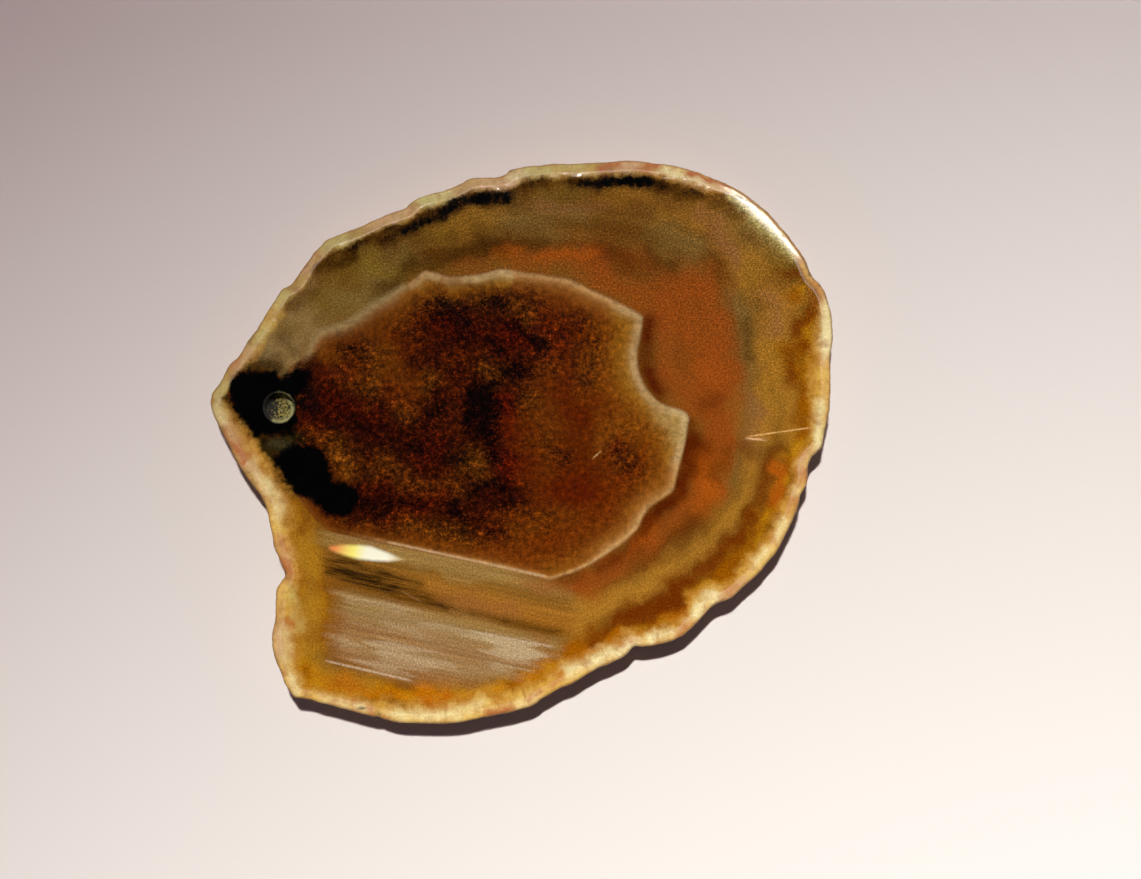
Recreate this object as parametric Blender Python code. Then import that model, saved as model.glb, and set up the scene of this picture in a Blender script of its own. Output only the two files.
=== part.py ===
"""Agate slice: one flat stone, sawn and polished on both faces, with its rough rind left on the edge, a small flat ground across the top edge of its round end, and one small round hole drilled part of the way down from the top face near its narrow tip.

Metres, +Z up. The slice lies on its underside, with the origin under the middle of its bounding box. +X runs from the narrow tip to the round end."""

import math

import bmesh
import bpy
from mathutils import Vector, noise

# Driving dimensions
THICKNESS = 0.0040  # between the two polished faces
DRAWING_UNIT = 0.001 / 12.4  # the outline below is drawn at 12.4 units to 1 mm
DRAWING_CENTRE = (521.6, 442.4)  # the middle of the drawn box, in drawing units
RIM_POINTS = 440  # around the edge
TOP_EDGE_WIDTH = 0.00032  # the softened arris between the top face and the rind
TOP_EDGE_DEPTH = 0.00030
BOTTOM_EDGE_WIDTH = 0.00022
BOTTOM_EDGE_DEPTH = 0.00022
TAPER = 0.00042  # how far the rind leans in towards the underside, on average
TAPER_SWING = 0.00022
LUMP_HEIGHT = 0.00007  # of the rind's lumps, in and out
LUMP_SIZE = 0.0016
PIT_HEIGHT = 0.00009  # of the finer pitting down the rind
PIT_SIZE = 0.0007
FACET_TILT = math.radians(13)  # of the flat ground across the top edge at the round end's upper side
FACET_FROM = (721.3, 188.9)  # the flat starts at the straight line between these points, in drawing units
FACET_TO = (798.3, 260.9)
HOLE_RADIUS = 0.00120
HOLE_CHAMFER = 0.00012
HOLE_CENTRE = (279.3, 407.4)  # in drawing units
HOLE_SIDES = 40
HOLE_WALL = 0.00100  # how far down the hole's straight wall reaches
HOLE_DEPTH = 0.00150  # at the middle of its rounded bottom

# The slice's outline, drawn by hand in plan, clockwise from the narrow tip. Drawing units, with Y down the sheet.
OUTLINE = (
    (210, 404), (211.5, 395), (217, 386), (222.5, 376), (229, 365.5), (237.5, 356), (245.5, 344.5), (253, 334),
    (259.5, 324), (265, 315), (270.5, 306), (276, 297), (281, 289.5), (286, 286), (292, 283), (298, 275.5),
    (303, 267), (309, 259), (318, 248), (327, 239), (333, 235.8), (341, 233), (354, 229), (368, 222.5),
    (382, 216), (396, 211), (406, 207.5), (411, 202.5), (416, 198.5), (423, 195), (431, 193), (441, 191),
    (451, 188), (462, 182.5), (469, 178.5), (474, 177.3), (488, 176.6), (500, 176), (506, 173.5), (509, 170),
    (514, 168.3), (524, 166.3), (534, 165), (556, 163.4), (582, 162.8), (608, 161.6), (630, 160.5), (645, 161.3),
    (659, 163), (674, 165.8), (688, 169), (700, 171.8), (707, 174.5), (714, 178), (722, 181.2), (732, 185.5),
    (741, 190.5), (749, 196), (760, 205), (771, 215), (781, 226), (790, 237), (798, 248), (805, 259),
    (808, 266), (811, 273), (814.5, 278), (819, 282), (824.5, 290), (829, 300), (831.5, 312), (832.5, 324),
    (833, 335), (832.5, 346), (830.8, 358), (830.8, 370), (831.3, 384), (831, 397), (829.5, 411), (827, 426),
    (825, 437), (822.5, 447), (817.5, 452.5), (812.5, 457), (809.3, 463), (808, 470), (808.3, 477), (807.7, 484),
    (804.8, 490), (801.8, 495), (800, 501), (797.5, 508.5), (793.5, 519), (788, 532), (781.5, 544), (774, 556),
    (764.5, 567), (755.5, 577.3), (746, 585.5), (738, 593), (731.5, 599), (726, 601.5), (720, 602.8), (713.5, 606),
    (706, 613.8), (700, 620.5), (692, 628.5), (684, 635.8), (676, 640), (665, 643.8), (650, 646.6), (641, 647.6),
    (634.5, 647), (630.5, 650.8), (625, 656.5), (617, 661), (608, 665.5), (600, 668), (592, 672.5), (583, 678),
    (574, 683), (565, 687), (552, 694), (541, 700), (537, 703.5), (529, 708), (518, 711), (508, 713),
    (488, 717.3), (471, 721), (455, 724), (442, 724.3), (430, 724), (417, 724.4), (404, 724), (391, 721.5),
    (384, 719.8), (379, 717.6), (373, 717), (361, 714.5), (343, 709.6), (329, 706), (315, 702), (303, 699.3),
    (293.5, 697), (288.5, 690.5), (284.5, 684.5), (281, 675.8), (277.5, 666.5), (274.5, 657), (272, 648), (271.3, 637),
    (272, 628), (274, 621), (274.5, 609), (275.6, 598), (275.7, 589.5), (280, 582), (283.8, 576), (283.6, 571),
    (279.5, 562), (275, 551.5), (272.3, 541), (270.5, 532), (268.5, 522), (266.5, 511), (263.3, 502), (259, 494.5),
    (253.5, 487.5), (244.5, 475), (240, 468), (236.3, 461.5), (229.5, 448.5), (222, 434), (217, 424), (212, 413),
)  # fmt: skip


def to_metres(x, y):
    cx, cy = DRAWING_CENTRE
    return Vector(((x - cx) * DRAWING_UNIT, (cy - y) * DRAWING_UNIT, 0.0))


def knot_curve(p0, p1, p2, p3, u):
    """A centripetal Catmull-Rom span from p1 to p2, which has no loops where the drawn points crowd at a corner."""
    t0 = 0.0
    t1 = t0 + math.sqrt((p1 - p0).length)
    t2 = t1 + math.sqrt((p2 - p1).length)
    t3 = t2 + math.sqrt((p3 - p2).length)
    t = t1 + (t2 - t1) * u
    a1 = p0 * ((t1 - t) / (t1 - t0)) + p1 * ((t - t0) / (t1 - t0))
    a2 = p1 * ((t2 - t) / (t2 - t1)) + p2 * ((t - t1) / (t2 - t1))
    a3 = p2 * ((t3 - t) / (t3 - t2)) + p3 * ((t - t2) / (t3 - t2))
    b1 = a1 * ((t2 - t) / (t2 - t0)) + a2 * ((t - t0) / (t2 - t0))
    b2 = a2 * ((t3 - t) / (t3 - t1)) + a3 * ((t - t1) / (t3 - t1))
    return b1 * ((t2 - t) / (t2 - t1)) + b2 * ((t - t1) / (t2 - t1))


def rim_curve(count):
    """The drawn outline as count points at even steps along a smooth closed curve, counter-clockwise seen from above."""
    drawn = [to_metres(x, y) for x, y in reversed(OUTLINE)]
    n = len(drawn)
    fine = []
    for i in range(n):
        span = [drawn[(i + k - 1) % n] for k in range(4)]
        fine += [knot_curve(*span, j / 12) for j in range(12)]
    lengths = [0.0]
    for a, b in zip(fine, fine[1:] + fine[:1]):
        lengths.append(lengths[-1] + (b - a).length)
    total, points, k = lengths[-1], [], 0
    for i in range(count):
        want = total * i / count
        while lengths[k + 1] < want:
            k += 1
        share = (want - lengths[k]) / (lengths[k + 1] - lengths[k])
        points.append(fine[k].lerp(fine[(k + 1) % len(fine)], share))
    return points


def outward(points):
    """The outline's own outward direction at each point."""
    found = []
    for i in range(len(points)):
        ahead = points[(i + 1) % len(points)] - points[i - 1]
        found.append(Vector((ahead.y, -ahead.x, 0.0)).normalized())
    return found


def evened(directions, reach):
    """Each direction averaged with its neighbours, so that a lean inwards doesn't fold over at a corner."""
    n = len(directions)
    found = []
    for i in range(n):
        total = Vector((0.0, 0.0, 0.0))
        for k in range(-reach, reach + 1):
            total += directions[(i + k) % n] * (reach + 1 - abs(k))
        found.append(total.normalized())
    return found


def rough(point, z, size):
    """Smooth noise between about -1 and 1 on the rind, the same on every run."""
    return noise.noise(Vector((point.x / size, point.y / size, z / size)))


def rings():
    """The rind's outline at each level from the underside up: (height, how far in it stands, its share of the taper, its share of the pitting)."""
    t, b = TOP_EDGE_DEPTH, BOTTOM_EDGE_DEPTH
    return (
        (0.0, BOTTOM_EDGE_WIDTH, 1.0, 0.25),
        (b, 0.00003, 1.0, 0.6),
        (THICKNESS * 0.33, 0.0, 0.75, 1.0),
        (THICKNESS * 0.63, 0.0, 0.3, 1.0),
        (THICKNESS - t, 0.0, 0.0, 0.5),
        (THICKNESS - t * 0.35, TOP_EDGE_WIDTH * 0.35, 0.0, 0.3),
        (THICKNESS, TOP_EDGE_WIDTH, 0.0, 0.0),
    )


def beyond(point, start, end):
    """How far a point lies outside the straight line from start to end, where the slice is on its left."""
    along = (end - start).normalized()
    return (point.x - start.x) * along.y - (point.y - start.y) * along.x


def ground_facet(top_row):
    """The run of points on the top edge that the ground flat takes in, with its two end points, and how far each is ground down."""
    start, end = to_metres(*FACET_TO), to_metres(*FACET_FROM)
    n = len(top_row)
    outside = [beyond(v.co, start, end) > 0.0 for v in top_row]
    first = next(i for i in range(n) if outside[i] and not outside[i - 1])
    run = [(first - 1) % n]
    while outside[(run[-1] + 1) % n]:
        run.append((run[-1] + 1) % n)
    run.append((run[-1] + 1) % n)
    start, end = top_row[run[0]].co.copy(), top_row[run[-1]].co.copy()
    drops = {i: math.tan(FACET_TILT) * max(0.0, beyond(top_row[i].co, start, end)) for i in run}
    return run, drops


def slice_mesh():
    base = rim_curve(RIM_POINTS)
    out = outward(base)
    lean = evened(out, 8)
    bm = bmesh.new()
    rows = []
    for z, inset, taper_share, pits in rings():
        row = []
        for i, p in enumerate(base):
            turn = 2 * math.pi * i / RIM_POINTS
            taper = TAPER + TAPER_SWING * math.sin(turn * 2 + 0.8)
            lump = LUMP_HEIGHT * rough(p, 0.0, LUMP_SIZE)
            pit = PIT_HEIGHT * pits * (rough(p, z + 0.01, PIT_SIZE) - 0.35)
            q = p + out[i] * (lump + pit) - lean[i] * (inset + taper * taper_share)
            row.append(bm.verts.new((q.x, q.y, z)))
        rows.append(row)
    run, drops = ground_facet(rows[-1])
    for row in rows[-3:]:
        for i in run:
            row[i].co.z -= drops[i]
    for low, high in zip(rows, rows[1:]):
        for i in range(RIM_POINTS):
            j = (i + 1) % RIM_POINTS
            bm.faces.new((low[i], low[j], high[j], high[i]))
    top = rows[-1]
    bm.faces.new([top[i] for i in run])
    k = run[-1]
    bm.faces.new([top[(k + j) % RIM_POINTS] for j in range(RIM_POINTS - len(run) + 2)])
    bm.faces.new(list(reversed(rows[0])))
    bm.normal_update()
    mesh = bpy.data.meshes.new("agate_slice")
    bm.to_mesh(mesh)
    bm.free()
    return mesh


def hole_cutter():
    """The drill hole as a turned solid: a small countersink at the top face, a straight wall and a rounded bottom."""
    over = 0.0005
    middle_drop = HOLE_DEPTH - HOLE_WALL
    profile = (
        (HOLE_RADIUS * 0.42, THICKNESS - HOLE_DEPTH + middle_drop * 0.10),
        (HOLE_RADIUS * 0.78, THICKNESS - HOLE_DEPTH + middle_drop * 0.42),
        (HOLE_RADIUS, THICKNESS - HOLE_WALL),
        (HOLE_RADIUS, THICKNESS - HOLE_CHAMFER),
        (HOLE_RADIUS + HOLE_CHAMFER + over, THICKNESS + over),
    )
    bm = bmesh.new()
    bottom = bm.verts.new((0.0, 0.0, THICKNESS - HOLE_DEPTH))
    rows = []
    for radius, z in profile:
        rows.append(
            [
                bm.verts.new(
                    (
                        radius * math.cos(2 * math.pi * k / HOLE_SIDES),
                        radius * math.sin(2 * math.pi * k / HOLE_SIDES),
                        z,
                    )
                )
                for k in range(HOLE_SIDES)
            ]
        )
    for k in range(HOLE_SIDES):
        bm.faces.new((bottom, rows[0][(k + 1) % HOLE_SIDES], rows[0][k]))
    for low, high in zip(rows, rows[1:]):
        for k in range(HOLE_SIDES):
            m = (k + 1) % HOLE_SIDES
            bm.faces.new((low[k], low[m], high[m], high[k]))
    bm.faces.new(rows[-1])
    bm.normal_update()
    mesh = bpy.data.meshes.new("hole_cutter")
    bm.to_mesh(mesh)
    bm.free()
    cutter = bpy.data.objects.new("hole_cutter", mesh)
    cutter.location = to_metres(*HOLE_CENTRE)
    cutter.hide_render = True
    cutter.display_type = "WIRE"
    return cutter


def stone_material():
    material = bpy.data.materials.new("polished_agate")
    material.use_nodes = True
    shader = material.node_tree.nodes["Principled BSDF"]
    shader.inputs["Base Color"].default_value = (0.24, 0.105, 0.03, 1.0)
    shader.inputs["Roughness"].default_value = 0.12
    shader.inputs["Metallic"].default_value = 0.0
    return material


def main():
    for obj in list(bpy.data.objects):
        bpy.data.objects.remove(obj, do_unlink=True)
    stone = bpy.data.objects.new("agate_slice", slice_mesh())
    stone.data.materials.append(stone_material())
    bpy.context.scene.collection.objects.link(stone)
    cutter = hole_cutter()
    bpy.context.scene.collection.objects.link(cutter)
    drill = stone.modifiers.new("drill_hole", "BOOLEAN")
    drill.operation = "DIFFERENCE"
    drill.solver = "EXACT"
    drill.object = cutter
    stone.data.shade_smooth()
    stone.data.set_sharp_from_angle(angle=math.radians(12))


main()
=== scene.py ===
"""Looks of the agate slice: one dense stone mesh with its banding, rind and bore, on a plain pale floor under soft
studio light.

Everything drawn here is in drawing units, 12.4 to the millimetre, with Y down the sheet, as seen from above. to_metres
turns it into the row frame."""

import math

import bpy
import numpy as np
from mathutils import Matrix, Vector, geometry, noise


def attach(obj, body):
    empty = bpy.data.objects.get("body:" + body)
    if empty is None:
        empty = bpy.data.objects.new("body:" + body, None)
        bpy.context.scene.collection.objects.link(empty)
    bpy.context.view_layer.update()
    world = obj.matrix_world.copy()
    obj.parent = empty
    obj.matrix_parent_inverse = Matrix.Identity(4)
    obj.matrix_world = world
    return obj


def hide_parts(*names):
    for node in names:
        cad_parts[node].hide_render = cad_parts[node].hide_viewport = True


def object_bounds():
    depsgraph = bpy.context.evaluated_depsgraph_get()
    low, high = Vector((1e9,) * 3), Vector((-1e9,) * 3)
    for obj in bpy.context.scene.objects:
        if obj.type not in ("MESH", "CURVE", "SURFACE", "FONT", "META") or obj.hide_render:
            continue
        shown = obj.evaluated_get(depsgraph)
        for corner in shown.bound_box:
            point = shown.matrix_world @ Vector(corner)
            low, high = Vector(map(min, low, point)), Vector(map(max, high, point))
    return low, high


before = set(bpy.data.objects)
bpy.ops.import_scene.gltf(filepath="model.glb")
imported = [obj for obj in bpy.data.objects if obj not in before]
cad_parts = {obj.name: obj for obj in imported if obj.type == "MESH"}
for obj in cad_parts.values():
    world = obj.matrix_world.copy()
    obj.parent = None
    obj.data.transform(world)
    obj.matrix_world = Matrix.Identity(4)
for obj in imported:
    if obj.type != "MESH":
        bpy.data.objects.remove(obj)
cad_low, cad_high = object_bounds()

# ---------------------------------------------------------------- sizes, as in the solid
MM = 12.4  # drawing units in a millimetre
UNIT = 0.001 / MM
CENTRE = (521.6, 442.4)
THICKNESS = 0.0040
TOP_EDGE_WIDTH = 0.00032
TOP_EDGE_DEPTH = 0.00030
BOTTOM_EDGE_WIDTH = 0.00022
BOTTOM_EDGE_DEPTH = 0.00022
TAPER = 0.00042
TAPER_SWING = 0.00022
LUMP_HEIGHT = 0.00007
LUMP_SIZE = 0.0016
FACET_TILT = math.radians(13)
FACET_FROM = (721.3, 188.9)
FACET_TO = (798.3, 260.9)
FACET_EASE = 8.0  # how softly the flat starts, in drawing units
HOLE_RADIUS = 0.00120
HOLE_CHAMFER = 0.00012
HOLE_CENTRE = (279.3, 407.4)
HOLE_WALL = 0.00100
HOLE_DEPTH = 0.00150

RIM_POINTS = 1200
HOLE_SIDES = 72

OUTLINE = (
    (210, 404), (211.5, 395), (217, 386), (222.5, 376), (229, 365.5), (237.5, 356), (245.5, 344.5), (253, 334),
    (259.5, 324), (265, 315), (270.5, 306), (276, 297), (281, 289.5), (286, 286), (292, 283), (298, 275.5),
    (303, 267), (309, 259), (318, 248), (327, 239), (333, 235.8), (341, 233), (354, 229), (368, 222.5),
    (382, 216), (396, 211), (406, 207.5), (411, 202.5), (416, 198.5), (423, 195), (431, 193), (441, 191),
    (451, 188), (462, 182.5), (469, 178.5), (474, 177.3), (488, 176.6), (500, 176), (506, 173.5), (509, 170),
    (514, 168.3), (524, 166.3), (534, 165), (556, 163.4), (582, 162.8), (608, 161.6), (630, 160.5), (645, 161.3),
    (659, 163), (674, 165.8), (688, 169), (700, 171.8), (707, 174.5), (714, 178), (722, 181.2), (732, 185.5),
    (741, 190.5), (749, 196), (760, 205), (771, 215), (781, 226), (790, 237), (798, 248), (805, 259),
    (808, 266), (811, 273), (814.5, 278), (819, 282), (824.5, 290), (829, 300), (831.5, 312), (832.5, 324),
    (833, 335), (832.5, 346), (830.8, 358), (830.8, 370), (831.3, 384), (831, 397), (829.5, 411), (827, 426),
    (825, 437), (822.5, 447), (817.5, 452.5), (812.5, 457), (809.3, 463), (808, 470), (808.3, 477), (807.7, 484),
    (804.8, 490), (801.8, 495), (800, 501), (797.5, 508.5), (793.5, 519), (788, 532), (781.5, 544), (774, 556),
    (764.5, 567), (755.5, 577.3), (746, 585.5), (738, 593), (731.5, 599), (726, 601.5), (720, 602.8), (713.5, 606),
    (706, 613.8), (700, 620.5), (692, 628.5), (684, 635.8), (676, 640), (665, 643.8), (650, 646.6), (641, 647.6),
    (634.5, 647), (630.5, 650.8), (625, 656.5), (617, 661), (608, 665.5), (600, 668), (592, 672.5), (583, 678),
    (574, 683), (565, 687), (552, 694), (541, 700), (537, 703.5), (529, 708), (518, 711), (508, 713),
    (488, 717.3), (471, 721), (455, 724), (442, 724.3), (430, 724), (417, 724.4), (404, 724), (391, 721.5),
    (384, 719.8), (379, 717.6), (373, 717), (361, 714.5), (343, 709.6), (329, 706), (315, 702), (303, 699.3),
    (293.5, 697), (288.5, 690.5), (284.5, 684.5), (281, 675.8), (277.5, 666.5), (274.5, 657), (272, 648), (271.3, 637),
    (272, 628), (274, 621), (274.5, 609), (275.6, 598), (275.7, 589.5), (280, 582), (283.8, 576), (283.6, 571),
    (279.5, 562), (275, 551.5), (272.3, 541), (270.5, 532), (268.5, 522), (266.5, 511), (263.3, 502), (259, 494.5),
    (253.5, 487.5), (244.5, 475), (240, 468), (236.3, 461.5), (229.5, 448.5), (222, 434), (217, 424), (212, 413),
)  # fmt: skip

# ---------------------------------------------------------------- the drawn pattern
# How wide the rind is on the cut face, at places around the outline: (x, y, width)
RIND_WIDTH = (
    (210, 404, 14), (216, 386, 11), (222, 376, 9), (231, 363, 11), (242, 350, 15), (263, 318, 15), (284, 289, 12), (305, 264, 10),
    (337, 234, 13), (368, 222, 10), (400, 210, 11), (431, 193, 14), (463, 182, 12), (495, 176, 14), (510, 170, 16), (540, 164, 13),
    (600, 162, 13), (650, 162, 13), (682, 167, 15), (700, 172, 17), (722, 181, 12), (741, 190, 7), (771, 215, 5), (797, 247, 6),
    (808, 266, 7), (820, 283, 8), (831, 306, 12), (833, 322, 16), (832, 346, 19), (831, 370, 19), (830, 412, 19), (824, 440, 15),
    (808, 475, 15), (797, 510, 17), (782, 543, 17), (765, 567, 17), (738, 594, 17), (722, 602, 20), (704, 616, 22), (690, 630, 16),
    (673, 641, 16), (650, 647, 17), (632, 650, 18), (608, 665, 19), (587, 676, 22), (561, 690, 22), (540, 701, 19), (515, 711, 19),
    (515, 712, 21), (486, 718, 26), (470, 721, 25), (435, 724, 22), (389, 721, 21), (360, 714, 18), (343, 709, 14), (315, 702, 14), (297, 697, 16), (284, 684, 20),
    (272, 645, 29), (274, 620, 31), (276, 592, 25), (284, 575, 17), (274, 548, 25), (267, 520, 23), (259, 494, 24), (240, 468, 25),
    (229, 448, 22), (222, 434, 20), (215, 420, 17),
)  # fmt: skip

# The pale fortification line, as a closed loop round the inner zone: (x, y, how strongly it shows, half its width)
LINE = (
    (283, 378, 0.2, 2.0), (293, 367, 0.3, 2.2), (304, 359.5, 0.4, 2.2), (311.5, 347, 0.45, 2.2), (316.5, 336.5, 0.5, 2.4), (319, 333, 0.5, 2.4), (327, 329, 0.42, 2.2),
    (345, 324.5, 0.35, 2.1), (358, 317, 0.35, 2.1), (371, 306.5, 0.4, 2.2), (391, 295.5, 0.52, 2.3), (400, 290, 0.68, 2.4), (412, 282.5, 0.85, 2.5),
    (420, 275.6, 0.9, 2.5), (424, 272.8, 0.95, 2.6), (427.5, 272.4, 0.95, 2.6), (438, 275, 0.92, 2.5), (451, 277.5, 0.9, 2.4), (476, 276, 0.85, 2.4), (489, 273.5, 0.85, 2.4),
    (501, 270.5, 0.8, 2.5), (525, 274, 0.72, 2.4), (550, 277.5, 0.68, 2.4), (570, 281.3, 0.75, 2.5), (587, 289.5, 0.8, 2.6), (611, 300.5, 0.85, 2.6),
    (630, 310, 0.9, 2.8), (639.5, 315.6, 1.0, 3.0), (641.5, 317.6, 1.0, 3.0), (641.4, 320.5, 1.0, 3.0), (639.8, 331, 0.95, 2.9), (638.2, 341, 0.95, 2.9), (636, 353, 1.0, 3.0), (638, 373, 1.0, 3.0),
    (647, 391.5, 1.0, 2.9), (659, 403.5, 0.95, 2.8), (671, 408.5, 0.95, 2.8), (680, 410.8, 1.0, 3.0), (686.3, 415.2, 1.0, 3.0), (687.6, 417.5, 1.0, 3.0), (687.2, 420.5, 1.0, 3.0), (685.6, 430, 0.9, 2.6),
    (683.5, 443, 0.85, 2.4), (679, 462, 0.8, 2.4), (675, 477, 0.85, 2.5), (673.2, 486, 0.9, 2.6), (671.8, 489.5, 0.9, 2.6), (669, 492.3, 0.9, 2.6), (658.5, 499.5, 0.8, 2.4), (647, 508, 0.8, 2.4),
    (641, 518, 0.9, 2.4), (635, 529, 0.88, 2.4), (624, 540, 0.9, 2.4), (610, 550, 0.92, 2.4), (595, 560, 0.9, 2.4), (580, 568, 0.9, 2.4),
    (563, 574, 0.92, 2.4), (552, 577.6, 1.0, 2.5), (548.5, 578.2, 0.95, 2.5), (544, 576.6, 0.95, 2.2), (525, 572.3, 0.85, 1.9), (500, 566, 0.75, 1.7), (470, 559.8, 0.7, 1.7),
    (440, 553.5, 0.65, 1.7), (412, 547.5, 0.6, 1.7), (384, 541.8, 0.45, 1.8), (358, 535.5, 0.2, 2.0), (330, 529, 0.0, 2.0), (317, 519, 0.0, 2.0),
    (301, 498, 0.0, 2.0), (283, 466, 0.0, 2.0), (264, 440, 0.0, 2.0), (244, 416, 0.0, 2.0), (230, 397, 0.0, 2.0), (230, 378, 0.0, 2.0),
    (245, 372, 0.0, 2.0), (265, 371, 0.05, 2.0),
)  # fmt: skip

# The bright sliver at the top of the straight layers: a painted highlight, light reflected off a healed flaw inside the
# stone, and its two tips
LENS = (
    (328.5, 546.8), (333, 545.3), (340, 544.6), (351, 544.4), (362, 544.8), (371, 546), (380, 549.2), (388, 552.4), (397, 556), (405.5, 559.6),
    (398, 561), (388, 561.6), (374, 561), (357, 559), (345, 555.6), (335, 552.4), (330, 549.6),
)  # fmt: skip

# The two darkest corners of the inner zone by the bore, as outlines: painted shadow of the rind, seen through the clear
# stone
RIND_SHADOW_TIP = (
    (230.5, 377), (236, 373.6), (245, 373), (256, 372.4), (266, 371.4), (273, 371.6), (278, 374.2), (282.5, 377), (287, 374.4), (292, 371.6),
    (300, 370.6), (306, 371), (310, 376), (308, 384), (303, 390), (297, 396), (295, 405), (295, 414), (297, 421), (295, 428),
    (290, 434), (283, 433), (277, 432.6), (270, 435), (264, 436), (257, 439), (249, 430), (242, 418), (234, 408), (229, 396), (228, 385),
)  # fmt: skip
RIND_SHADOW_LOW = (
    (277, 454), (283, 449.5), (291, 446), (299, 444), (308, 446.5), (318, 450.5), (323, 455), (327, 461), (330, 472), (337, 484),
    (346, 485), (355, 486), (360, 491), (360, 496), (356, 505), (351, 514), (338, 514), (326, 513), (318, 505.5), (309, 499),
    (301, 496), (292, 490), (285, 480), (279, 471), (276, 463),
)  # fmt: skip

# Straight layers: the direction that they run in, a point on their upper edge, and the outline of the corner that they fill
LAYER_POINT = (384.0, 541.8)
LAYER_SLOPE = 0.209
LAYERS = (
    (318, 520), (330, 521), (350, 528), (384, 538), (440, 550), (500, 563), (524, 569.5), (546, 583), (568, 594), (578, 614),
    (572, 632), (560, 648), (545, 662), (526, 672), (500, 679), (470, 683), (440, 683), (414, 681), (390, 676), (352, 667),
    (335, 659), (333, 640), (337, 616), (336, 596), (328, 572), (321, 548),
)  # fmt: skip

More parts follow.
